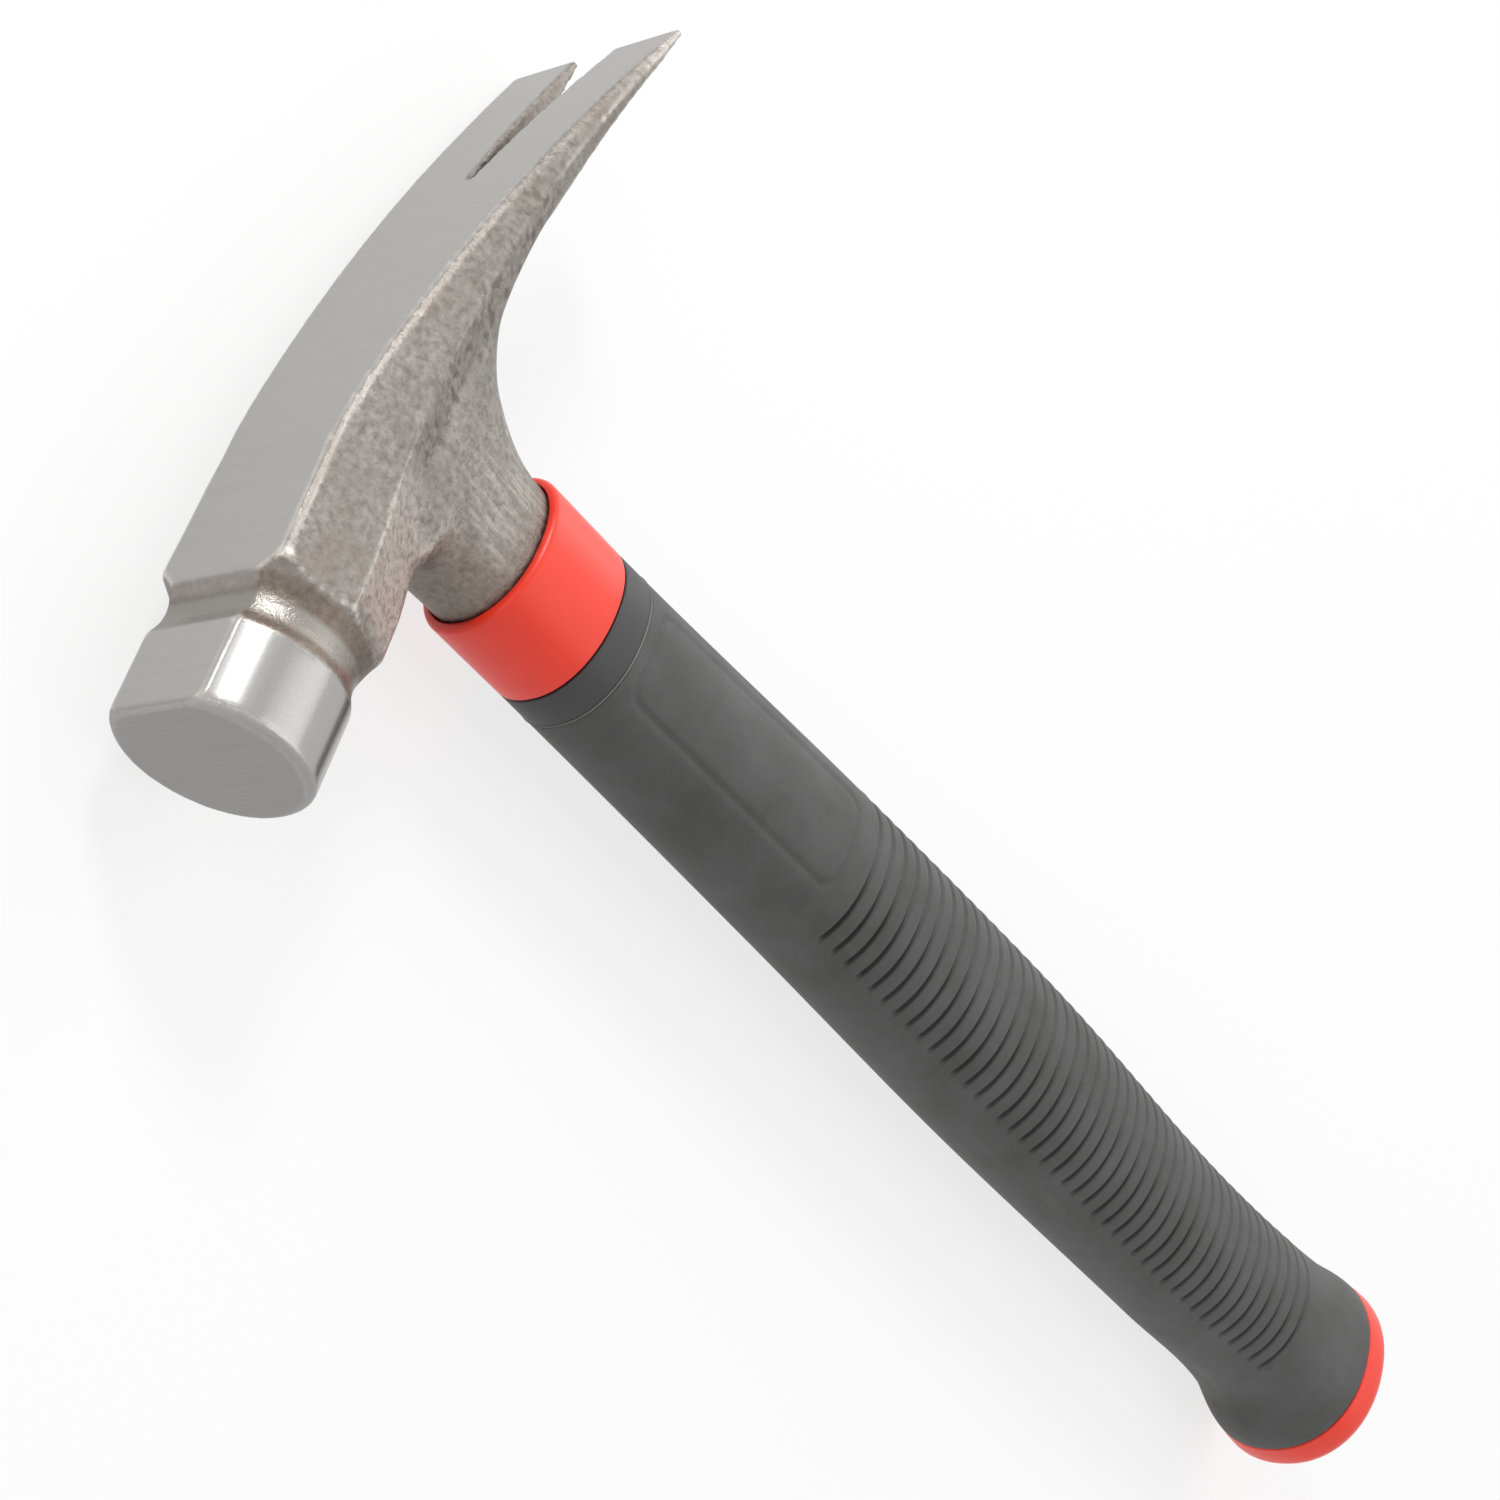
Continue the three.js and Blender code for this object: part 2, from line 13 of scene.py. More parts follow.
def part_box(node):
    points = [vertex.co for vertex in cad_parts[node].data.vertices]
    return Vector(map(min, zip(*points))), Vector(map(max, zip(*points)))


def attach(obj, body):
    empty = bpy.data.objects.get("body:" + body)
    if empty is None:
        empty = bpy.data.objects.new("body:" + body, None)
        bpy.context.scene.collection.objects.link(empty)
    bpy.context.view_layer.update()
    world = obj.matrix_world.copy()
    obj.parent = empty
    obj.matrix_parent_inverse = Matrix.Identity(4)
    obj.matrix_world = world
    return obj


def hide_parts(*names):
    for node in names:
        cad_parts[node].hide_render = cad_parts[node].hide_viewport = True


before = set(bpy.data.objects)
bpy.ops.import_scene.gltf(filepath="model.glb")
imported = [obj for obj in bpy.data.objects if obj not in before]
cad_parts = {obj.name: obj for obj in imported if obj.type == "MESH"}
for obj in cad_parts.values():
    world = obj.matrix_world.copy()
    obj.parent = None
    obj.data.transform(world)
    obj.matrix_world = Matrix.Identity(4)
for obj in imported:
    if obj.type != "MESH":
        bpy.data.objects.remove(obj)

LOG = logging.getLogger("rip_hammer")
MM = 0.001
WHITE = (1.0, 1.0, 1.0, 1.0)
# Powers of an oval: a true ellipse, and the slightly squarer section of the handle
ROUND = 2.0
SQUARISH = 2.15
# Distances in metres under which points are one, in the solids and in the new skins, and edges are slivers
SAME_SOLID_POINT = 1e-6
SAME_SKIN_POINT = 2e-6
SLIVER = 1e-7
# Sockets of the Mix node, for colours and for plain numbers
COLOUR_A, COLOUR_B, COLOUR_OUT = 6, 7, 2
NUMBER_A, NUMBER_B, NUMBER_OUT = 2, 3, 0


# Helpers


def linear(hex_colour: str) -> Tuple[float, float, float, float]:
    """Turn an sRGB hex colour into linear values.

    Args:
        hex_colour: Six hex digits after a hash sign.

    Returns:
        Linear red, green, blue and an alpha of 1.
    """
    parts = [int(hex_colour[i : i + 2], 16) / 255 for i in (1, 3, 5)]
    turned = [c / 12.92 if c <= 0.04045 else ((c + 0.055) / 1.055) ** 2.4 for c in parts]
    return (turned[0], turned[1], turned[2], 1.0)


def ease(low: float, high: float, value: Any) -> Any:
    """Smooth step from 0 at low to 1 at high, on numbers and arrays alike."""
    share = np.clip((value - low) / (high - low), 0.0, 1.0)
    return share * share * (3 - 2 * share)


def per_mm(size: float) -> float:
    """Texture scale, on Object coordinates in metres, for a pattern of this size in millimetres."""
    return 1 / (size * MM)


def add_node(
    tree: bpy.types.NodeTree, kind: str, inputs: Optional[Dict[Any, Any]] = None, **settings: Any
) -> bpy.types.Node:
    """Add a node with its settings, values and links.

    Args:
        tree: Node tree of a material or the world.
        kind: Blender's name of the node type.
        inputs: Input name or number to a value, or to the socket that feeds it.
        settings: Properties of the node.

    Returns:
        The new node.
    """
    node = tree.nodes.new(kind)
    for name, value in settings.items():
        setattr(node, name, value)
    for key, value in (inputs or {}).items():
        if isinstance(value, bpy.types.NodeSocket):
            tree.links.new(value, node.inputs[key])
        else:
            node.inputs[key].default_value = value
    return node


def blank_material(name: str) -> Tuple[bpy.types.Material, bpy.types.NodeTree]:
    """Make an empty node material.

    Args:
        name: Name of the material.

    Returns:
        The material and its cleared node tree.
    """
    material = bpy.data.materials.new(name)
    material.use_nodes = True
    material.node_tree.nodes.clear()
    return material, material.node_tree


def mesh_object(name: str, shape: bmesh.types.BMesh) -> bpy.types.Object:
    """Write a bmesh to a new smooth-shaded object at the origin.

    Args:
        name: Name of the piece.
        shape: Finished bmesh, which is freed here.

    Returns:
        The linked object.
    """
    mesh = bpy.data.meshes.new(name)
    shape.to_mesh(mesh)
    shape.free()
    mesh.shade_smooth()
    made = bpy.data.objects.new(name, mesh)
    bpy.context.scene.collection.objects.link(made)
    return made


def settled(obj: bpy.types.Object) -> None:
    """Replace an object's mesh by the result of its modifiers, and clear them.

    Args:
        obj: Object with modifiers.
    """
    bpy.context.view_layer.update()
    graph = bpy.context.evaluated_depsgraph_get()
    result = bpy.data.meshes.new_from_object(obj.evaluated_get(graph))
    obj.modifiers.clear()
    obj.data = result


def seat(obj: bpy.types.Object, node: Optional[str], material: bpy.types.Material) -> None:
    """Dress a piece and let it stand for its solid.

    Args:
        obj: Finished piece.
        node: Solid that it replaces, or None for a piece of its own.
        material: Finish of the piece.
    """
    obj.data.materials.clear()
    obj.data.materials.append(material)
    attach(obj, "root")
    if node:
        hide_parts(node)
    LOG.info("%s: %d faces", obj.name, len(obj.data.polygons))


@dataclass(frozen=True)
class Edge:
    """Soft edge of a region: where it starts, and where it is complete."""

    start: float
    full: float

    def rise(self, value: Any) -> Any:
        """Share that grows from 0 at the start to 1 where the edge is complete."""
        return ease(self.start, self.full, value)

    def fall(self, value: Any) -> Any:
        """Share that sinks from 1 at the start to 0 where the edge is complete."""
        return 1 - ease(self.start, self.full, value)


# Frame of the standing hammer


@dataclass(frozen=True)
class StandingFrame:
    """The hammer's own axes in millimetres: x to the striking face, y to the near cheek, z to the top.

    The origin is where the axis of the striking face crosses the axis of the handle. It is kept in metres
    of the row's frame.
    """

    origin: Vector
    face_reach: float = 56.1
    top_height: float = 11.5

    @classmethod
    def from_head(cls) -> "StandingFrame":
        """Find the origin from the box of the head's solid.

        Returns:
            The frame.
        """
        low, high = (Vector(corner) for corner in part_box("hammer_head"))
        reach = Vector((cls.top_height, cls.face_reach, 0)) * MM
        return cls(Vector((high.x, high.y, (low.z + high.z) / 2)) - reach)

    def place(self, x: float, y: float, z: float) -> Vector:
        """Row-frame point, in metres, of a point given in the standing frame."""
        return self.origin + Vector((z, x, y)) * MM

    def coordinates(self, points: np.ndarray) -> np.ndarray:
        """Standing coordinates, in millimetres, of row-frame points."""
        moved = (points - np.array(self.origin)) / MM
        return moved[:, [1, 2, 0]]


# Handle form


@dataclass(frozen=True)
class Oval:
    """Section of the handle: half depth fore and aft, half width, and lean towards the striking face."""

    depth: float
    width: float
    lean: float = 0.0

    def grown(self, amount: float) -> "Oval":
        """The same section, larger by an amount all round."""
        return Oval(self.depth + amount, self.width + amount, self.lean)


@dataclass(frozen=True)
class Ring:
    """One ring of a skin: its level, its oval, the power of the oval and what is cut into it."""

    level: float
    oval: Oval
    power: float = SQUARISH
    cut: Optional[Callable[[float, float], float]] = None


@dataclass(frozen=True)
class HandleForm:
    """Levels and sections of the handle, in millimetres, and the smooth curve through them."""

    collar_top: float = -28.4
    collar_bottom: float = -45.5
    gap: float = 0.3
    band_height: float = 6.0
    neck: Oval = Oval(12.4, 9.8)
    collar_wall: float = 1.3
    shoulder: Tuple[float, Oval] = (-113.1, Oval(15.45, 12.95, -0.8))
    swell: Tuple[float, Oval] = (-173.0, Oval(16.45, 14.05, -0.6))
    waist: Tuple[float, Oval] = (-239.0, Oval(15.35, 13.75, 0.0))
    flare: Tuple[float, Oval] = (-272.2, Oval(15.9, 15.3, -1.0))
    butt: Tuple[float, Oval] = (-284.7, Oval(18.7, 16.8, -0.2))

    @property
    def collar_oval(self) -> Oval:
        """Outside of the collar."""
        return self.neck.grown(self.gap + self.collar_wall)

    @property
    def band_top(self) -> float:
        """Top of the core's visible band."""
        return self.collar_bottom - self.gap

    @property
    def band_bottom(self) -> float:
        """Bottom of the core's visible band."""
        return self.band_top - self.band_height

    @property
    def grip_top(self) -> float:
        """Top of the rubber sleeve."""
        return self.band_bottom - self.gap

    def knots(self) -> List[Tuple[float, Oval]]:
        """Sections from the butt up."""
        top = (self.band_top, self.collar_oval)
        return [self.butt, self.flare, self.waist, self.swell, self.shoulder, top]

    def oval(self, level: float) -> Oval:
        """Section at a level, on a cubic through the named sections.

        Args:
            level: Height in the standing frame.

        Returns:
            The oval there.
        """
        knots = self.knots()
        level = min(max(level, knots[0][0]), knots[-1][0])
        i = next(k for k in range(1, len(knots)) if level <= knots[k][0])
        (t0, a), (t1, b) = knots[i - 1], knots[i]
        t_prev, before = knots[i - 2] if i >= 2 else (2 * t0 - t1, b)
        t_next, after = knots[i + 1] if i + 1 < len(knots) else (2 * t1 - t0, b)
        half = (t1 - t0) / 2
        w_prev, w_next = half / (t0 - t_prev), half / (t_next - t1)
        p = (level - t0) / (t1 - t0)
        shares = (
            -w_prev * p**3 + 2 * w_prev * p**2 - w_prev * p,
            (1 + w_prev) * p**3 + (-1.5 - 2 * w_prev) * p**2 + (-0.5 + w_prev) * p + 1,
            (-1 - w_next) * p**3 + (1.5 + w_next) * p**2 + 0.5 * p,
            w_next * p**3 - w_next * p**2,
        )
        four = [(o.depth, o.width, o.lean) for o in (before, a, b, after)]
        mixed = [sum(s * section[k] for s, section in zip(shares, four)) for k in range(3)]
        return Oval(*mixed)


def ring_point(standing: StandingFrame, ring: Ring, angle: float) -> Vector:
    """Point of a ring at an angle from the front, less what is cut there.

    Args:
        standing: Frame of the hammer.
        ring: Ring of the skin.
        angle: Angle round the oval, from the front towards the near side.

    Returns:
        Row-frame point.
    """
    sunk = ring.cut(ring.level, angle) if ring.cut else 0.0
    c, s = math.cos(angle), math.sin(angle)
    x = ring.oval.lean + (ring.oval.depth - sunk) * math.copysign(abs(c) ** (2 / ring.power), c)
    y = (ring.oval.width - sunk) * math.copysign(abs(s) ** (2 / ring.power), s)
    return standing.place(x, y, ring.level)


def skin(standing: StandingFrame, rings: Sequence[Ring], sides: int) -> bmesh.types.BMesh:
    """Wrap a grid round a row of rings and close its seams.

    Args:
        standing: Frame of the hammer.
        rings: Rings in order along the profile. A profile that ends on its first ring closes on itself.
        sides: Facets round each ring.

    Returns:
        Closed bmesh in the row frame.
    """
    half = 0.5
    shape = bmesh.new()
    bmesh.ops.create_grid(shape, x_segments=sides, y_segments=len(rings) - 1, size=half)
    for vertex in shape.verts:
        row = round((vertex.co.y + half) * (len(rings) - 1))
        angle = 2 * math.pi * (vertex.co.x + half)
        vertex.co = ring_point(standing, rings[row], angle)
    bmesh.ops.remove_doubles(shape, verts=shape.verts, dist=SAME_SKIN_POINT)
    bmesh.ops.dissolve_degenerate(shape, edges=shape.edges, dist=SLIVER)
    bmesh.ops.recalc_face_normals(shape, faces=shape.faces)
    return shape


def rounded(level: float, oval: Oval, radius: float, upward: bool, steps: int = 5) -> List[Ring]:
    """Quarter-round edge at the top or bottom of a skin.

    Args:
        level: Level of the end face.
        oval: Full section just inside the edge.
        radius: Radius of the edge.
        upward: True for a top edge, whose rings run from the side up to the face.
        steps: Segments of the quarter round.

    Returns:
        Rings of the edge, in order of travel along the profile.
    """
    sign = 1 if upward else -1
    rings = []
    for k in range(steps + 1):
        turn = math.pi / 2 * k / steps
        height = level - sign * radius * (1 - math.sin(turn))
        rings.append(Ring(height, oval.grown(-radius * (1 - math.cos(turn)))))
    return rings if upward else rings[::-1]


# Finishes


@dataclass(frozen=True)
class Noise:
    """Noise pattern of a finish: its size in millimetres, its detail and its roughness."""

    size: float
    detail: float
    roughness: float = 0.5


@dataclass(frozen=True)
class Span:
    """Stretch of a pattern's values, and the least and most that it is spread to."""

    low: float
    high: float
    least: float = 0.0
    most: float = 1.0


@dataclass(frozen=True)
class ForgedSteel:
    """Drop-forged carbon steel, blasted and tumbled, then ground on top and face and turned at the poll.

    The blasted skin scatters light and holds a brown film in its hollows, and the same brown is painted
    shade on the front and foot of the neck and in the claw slot; ground faces are a paler satin, the
    striking face a darker grey as painted shade, the turned poll nearly mirrors, and every proud edge is
    rubbed bright, the same pale tone also painting highlights on the cheek's crease and lower bevel.
    """

    name: str = "forged_carbon_steel"
    forged_dark: str = "#716C67"
    forged_light: str = "#9F9B96"
    film: str = "#7F756D"
    ground: str = "#AEACA9"
    turned: str = "#A8A6A3"
    # As-forged brown of the recess, also laid as painted shade on the neck's front and foot and in the claw
    # slot
    recess: str = "#6A5F56"
    hollow: str = "#908C86"
    # Striking face: a darker grey than the ground top, painted shade for a face turned from the light
    face: str = "#999795"
    # Pale tone of edges rubbed bright, also used for painted highlights on the crease and lower bevel
    rubbed_and_highlight: str = "#D6D0C8"
    pit: str = "#5A554F"
    blast_grain: Noise = Noise(1.1, 5.0, 0.62)
    fine_grain: Noise = Noise(0.45, 2.0)
    film_patch: Noise = Noise(9.0, 3.0, 0.55)
    grind_line: Noise = Noise(0.45, 3.0, 0.6)
    pit_spot: Noise = Noise(1.7, 2.0, 0.45)
    neck_stroke: Noise = Noise(1.3, 4.0, 0.6)
    line_draw: float = 0.03
    stroke_draw: float = 0.14
    grain_span: Span = Span(0.3, 0.7)
    film_span: Span = Span(0.42, 0.72, most=0.55)
    stroke_span: Span = Span(0.48, 0.8, most=0.5)
    pit_span: Span = Span(0.5, 0.66, most=0.75)
    worn_span: Span = Span(0.3, 0.55, least=0.35)
    line_tone: Span = Span(0.3, 0.7, 0.965, 1.03)
    roughness: Span = Span(0.3, 0.7, 0.42, 0.6)
    recess_roughness: float = 0.46
    hollow_roughness: float = 0.34
    ground_roughness: float = 0.4
    face_roughness: float = 0.46
    turned_roughness: float = 0.23
    rubbed_roughness: float = 0.36
    fine_height: float = 0.45
    pit_height: float = -0.8
    line_height: float = 0.06
    bump_strength: float = 0.75
    bump_depth: float = 0.16

    def material(self) -> bpy.types.Material:
        """Node material that reads the head's finish attributes.

        Returns:
            The material.
        """
        material, tree = blank_material(self.name)
        place = add_node(tree, "ShaderNodeTexCoord").outputs["Object"]
        # Grinding lines run across the head, on the row's Z axis, and strokes on the neck along its X axis
        across, along = [
            add_node(tree, "ShaderNodeMapping", {"Vector": place, "Scale": scale}).outputs["Vector"]
            for scale in ((1.0, 1.0, self.line_draw), (self.stroke_draw, 1.0, 1.0))
        ]
        mask = {
            key: add_node(tree, "ShaderNodeAttribute", attribute_name=key).outputs["Fac"]
            for key in ("ground", "turned", "recess", "face", "rubbed_and_highlight", "pitted", "neck", "hollow")
        }
        pattern = {}
        for key, where, noise in (
            ("grain", place, self.blast_grain),
            ("fine", place, self.fine_grain),
            ("patch", place, self.film_patch),
            ("lines", across, self.grind_line),
            ("spots", place, self.pit_spot),
            ("strokes", along, self.neck_stroke),
        ):
            values = {"Vector": where, "Scale": per_mm(noise.size), "Detail": noise.detail}
            values["Roughness"] = noise.roughness
            pattern[key] = add_node(tree, "ShaderNodeTexNoise", values).outputs["Fac"]
        share = {}
        for key, source, span in (
            ("grain", "grain", self.grain_span),
            ("film", "patch", self.film_span),
            ("strokes", "strokes", self.stroke_span),
            ("pits", "spots", self.pit_span),
            ("worn", "grain", self.worn_span),
            ("line_tone", "lines", self.line_tone),
            ("rough", "grain", self.roughness),
        ):
            values = {"Value": pattern[source], "From Min": span.low, "From Max": span.high}
            values.update({"To Min": span.least, "To Max": span.most})
            share[key] = add_node(tree, "ShaderNodeMapRange", values).outputs["Result"]
        for key, where in (("strokes", "neck"), ("pits", "pitted"), ("worn", "rubbed_and_highlight")):
            share[key] = add_node(
                tree, "ShaderNodeMath", {0: share[key], 1: mask[where]}, operation="MULTIPLY"
            ).outputs["Value"]

        recess_tone = add_node(
            tree,
            "ShaderNodeMix",
            {"Factor": share["grain"], COLOUR_A: linear(self.recess), COLOUR_B: linear(self.film)},
            data_type="RGBA",
        ).outputs[COLOUR_OUT]
        colour = linear(self.forged_dark)
        for factor, tone in (
            (share["grain"], linear(self.forged_light)),
            (share["film"], linear(self.film)),
            (share["strokes"], linear(self.rubbed_and_highlight)),
            (share["pits"], linear(self.pit)),
            # The recess mask also brings the painted shade of the neck and the claw slot
            (mask["recess"], recess_tone),
            (mask["hollow"], linear(self.hollow)),
            (mask["ground"], linear(self.ground)),
            # The striking face's darker grey is painted shade
            (mask["face"], linear(self.face)),
            (mask["turned"], linear(self.turned)),
            # Rubbed edges, with the painted highlights on the crease and lower bevel
            (share["worn"], linear(self.rubbed_and_highlight)),
        ):
            colour = add_node(
                tree,
                "ShaderNodeMix",
                {"Factor": factor, COLOUR_A: colour, COLOUR_B: tone},
                data_type="RGBA",
            ).outputs[COLOUR_OUT]
        colour = add_node(
            tree,
            "ShaderNodeMix",
            {"Factor": 1.0, COLOUR_A: colour, COLOUR_B: share["line_tone"]},
            data_type="RGBA",
            blend_type="MULTIPLY",
        ).outputs[COLOUR_OUT]

        rough = share["rough"]
        for key, value in (
            ("recess", self.recess_roughness),
            ("hollow", self.hollow_roughness),
            ("ground", self.ground_roughness),
            ("face", self.face_roughness),
            ("turned", self.turned_roughness),
            ("rubbed_and_highlight", self.rubbed_roughness),
        ):
            rough = add_node(
                tree,
                "ShaderNodeMix",
                {"Factor": mask[key], NUMBER_A: rough, NUMBER_B: value},
                data_type="FLOAT",
            ).outputs[NUMBER_OUT]

        smooth = mask["ground"]
        for key in ("turned", "face"):
            smooth = add_node(
                tree, "ShaderNodeMath", {0: smooth, 1: mask[key]}, operation="MAXIMUM"
            ).outputs["Value"]
        rugged = add_node(tree, "ShaderNodeMath", {0: 1.0, 1: smooth}, operation="SUBTRACT").outputs["Value"]
        blasted = add_node(
            tree,
            "ShaderNodeMath",
            {0: pattern["fine"], 1: self.fine_height, 2: pattern["grain"]},
            operation="MULTIPLY_ADD",
        ).outputs["Value"]
        height = add_node(
            tree, "ShaderNodeMath", {0: blasted, 1: rugged}, operation="MULTIPLY"
        ).outputs["Value"]
        for source, factor in ((share["pits"], self.pit_height), (pattern["lines"], self.line_height)):
            height = add_node(
                tree, "ShaderNodeMath", {0: source, 1: factor, 2: height}, operation="MULTIPLY_ADD"
            ).outputs["Value"]
        bump = add_node(
            tree,
            "ShaderNodeBump",
            {"Height": height, "Strength": self.bump_strength, "Distance": self.bump_depth * MM},
        ).outputs["Normal"]
        shader = add_node(
            tree,
            "ShaderNodeBsdfPrincipled",
            {"Base Color": colour, "Metallic": 1.0, "Roughness": rough, "Normal": bump},
        )
        add_node(tree, "ShaderNodeOutputMaterial", {"Surface": shader.outputs["BSDF"]})
        return material


@dataclass(frozen=True)
class MouldedRubber:
    """Carbon-black rubber from a lightly blasted mould: matt, with a soft sheen and a little bloom."""

    name: str = "moulded_rubber"
    dark: str = "#393938"
    bloom: str = "#4F4E4E"
    scuffed: str = "#6E6D6B"
    patch: Noise = Noise(14.0, 5.0, 0.6)
    grain: Noise = Noise(0.55, 3.0, 0.6)
    scuff: Noise = Noise(2.6, 2.0, 0.4)
    scuff_turn: float = 0.5
    scuff_draw: Tuple[float, float, float] = (0.12, 1.0, 0.5)
    bloom_span: Span = Span(0.32, 0.7)
    scuff_span: Span = Span(0.68, 0.8, most=0.2)
    roughness: Span = Span(0.0, 1.0, 0.5, 0.66)
    ior: float = 1.52
    bump_strength: float = 0.5
    bump_depth: float = 0.05

    def material(self) -> bpy.types.Material:
        """Node material with bloom in patches, pale scuffs and a fine mould grain.

        Returns:
            The material.
        """
        material, tree = blank_material(self.name)
        place = add_node(tree, "ShaderNodeTexCoord").outputs["Object"]
        # Long pale scuffs are drawn out askew along the handle
        askew = add_node(
            tree,
            "ShaderNodeMapping",
            {"Vector": place, "Rotation": (0.0, 0.0, self.scuff_turn), "Scale": self.scuff_draw},
        ).outputs["Vector"]
        # The mould's blast is finer than the picture shows, so the grain is drawn at half a millimetre
        pattern, share = {}, {}
        for key, where, noise, span in (
            ("bloom", place, self.patch, self.bloom_span),
            ("scuffs", askew, self.scuff, self.scuff_span),
            ("grain", place, self.grain, self.roughness),
        ):
            values = {"Vector": where, "Scale": per_mm(noise.size), "Detail": noise.detail}
            values["Roughness"] = noise.roughness
            pattern[key] = add_node(tree, "ShaderNodeTexNoise", values).outputs["Fac"]
            values = {"Value": pattern[key], "From Min": span.low, "From Max": span.high}
            values.update({"To Min": span.least, "To Max": span.most})
            share[key] = add_node(tree, "ShaderNodeMapRange", values).outputs["Result"]
        colour = linear(self.dark)
        for key, tone in (("bloom", self.bloom), ("scuffs", self.scuffed)):
            colour = add_node(
                tree,
                "ShaderNodeMix",
                {"Factor": share[key], COLOUR_A: colour, COLOUR_B: linear(tone)},
                data_type="RGBA",
            ).outputs[COLOUR_OUT]
        bump = add_node(
            tree,
            "ShaderNodeBump",
            {"Height": pattern["grain"], "Strength": self.bump_strength, "Distance": self.bump_depth * MM},
        ).outputs["Normal"]
        shader = add_node(
            tree,
            "ShaderNodeBsdfPrincipled",
            {"Base Color": colour, "Roughness": share["grain"], "IOR": self.ior, "Normal": bump},
        )
        add_node(tree, "ShaderNodeOutputMaterial", {"Surface": shader.outputs["BSDF"]})
        return material


@dataclass(frozen=True)
class MouldedPlastic:
    """Injection-moulded thermoplastic: an even colour, a faint flow mottle and a soft gloss."""

    name: str
    colour: str
    deep: str
    roughness: float
    smoother: float = 0.05
    rougher: float = 0.07
    mottle: Noise = Noise(6.0, 3.0)
    grain: Noise = Noise(0.5, 2.0)
    ior: float = 1.5
    bump_strength: float = 0.3
    bump_depth: float = 0.03

    def material(self) -> bpy.types.Material:
        """Node material with a flow mottle and a faint texture.

        Returns:
            The material.
        """
        material, tree = blank_material(self.name)
        place = add_node(tree, "ShaderNodeTexCoord").outputs["Object"]
        pattern = {}
        for key, noise in (("mottle", self.mottle), ("grain", self.grain)):
            values = {"Vector": place, "Scale": per_mm(noise.size), "Detail": noise.detail}
            values["Roughness"] = noise.roughness
            pattern[key] = add_node(tree, "ShaderNodeTexNoise", values).outputs["Fac"]
        colour = add_node(
            tree,
            "ShaderNodeMix",
            {"Factor": pattern["mottle"], COLOUR_A: linear(self.colour), COLOUR_B: linear(self.deep)},
            data_type="RGBA",
        ).outputs[COLOUR_OUT]
        rough = add_node(
            tree,
            "ShaderNodeMapRange",
            {
                "Value": pattern["grain"],
                "To Min": self.roughness - self.smoother,
                "To Max": self.roughness + self.rougher,
            },
        ).outputs["Result"]
        bump = add_node(
            tree,
            "ShaderNodeBump",
            {"Height": pattern["grain"], "Strength": self.bump_strength, "Distance": self.bump_depth * MM},
        ).outputs["Normal"]
        shader = add_node(
            tree,
            "ShaderNodeBsdfPrincipled",
            {"Base Color": colour, "Roughness": rough, "IOR": self.ior, "Normal": bump},
        )
        add_node(tree, "ShaderNodeOutputMaterial", {"Surface": shader.outputs["BSDF"]})
        return material


@dataclass(frozen=True)
class DrawnSteel:
    """Drawn steel tube and bar: even grey with fine lines along the draw."""

    name: str = "drawn_steel"
    colour: str = "#A3A5A7"
    shade: str = "#86898C"
    line: Noise = Noise(0.4, 3.0)
    line_draw: float = 0.03
    roughness: float = 0.35

    def material(self) -> bpy.types.Material:
        """Node material with draw lines along the handle.

        Returns:
            The material.
        """
        material, tree = blank_material(self.name)
        place = add_node(tree, "ShaderNodeTexCoord").outputs["Object"]
        drawn = add_node(
            tree, "ShaderNodeMapping", {"Vector": place, "Scale": (self.line_draw, 1.0, 1.0)}
        ).outputs["Vector"]
        values = {"Vector": drawn, "Scale": per_mm(self.line.size), "Detail": self.line.detail}
        values["Roughness"] = self.line.roughness
        lines = add_node(tree, "ShaderNodeTexNoise", values).outputs["Fac"]
        colour = add_node(
            tree,
            "ShaderNodeMix",
            {"Factor": lines, COLOUR_A: linear(self.colour), COLOUR_B: linear(self.shade)},
            data_type="RGBA",
        ).outputs[COLOUR_OUT]
        shader = add_node(
            tree,
            "ShaderNodeBsdfPrincipled",
            {"Base Color": colour, "Metallic": 1.0, "Roughness": self.roughness},
        )
        add_node(tree, "ShaderNodeOutputMaterial", {"Surface": shader.outputs["BSDF"]})
        return material


# Pieces


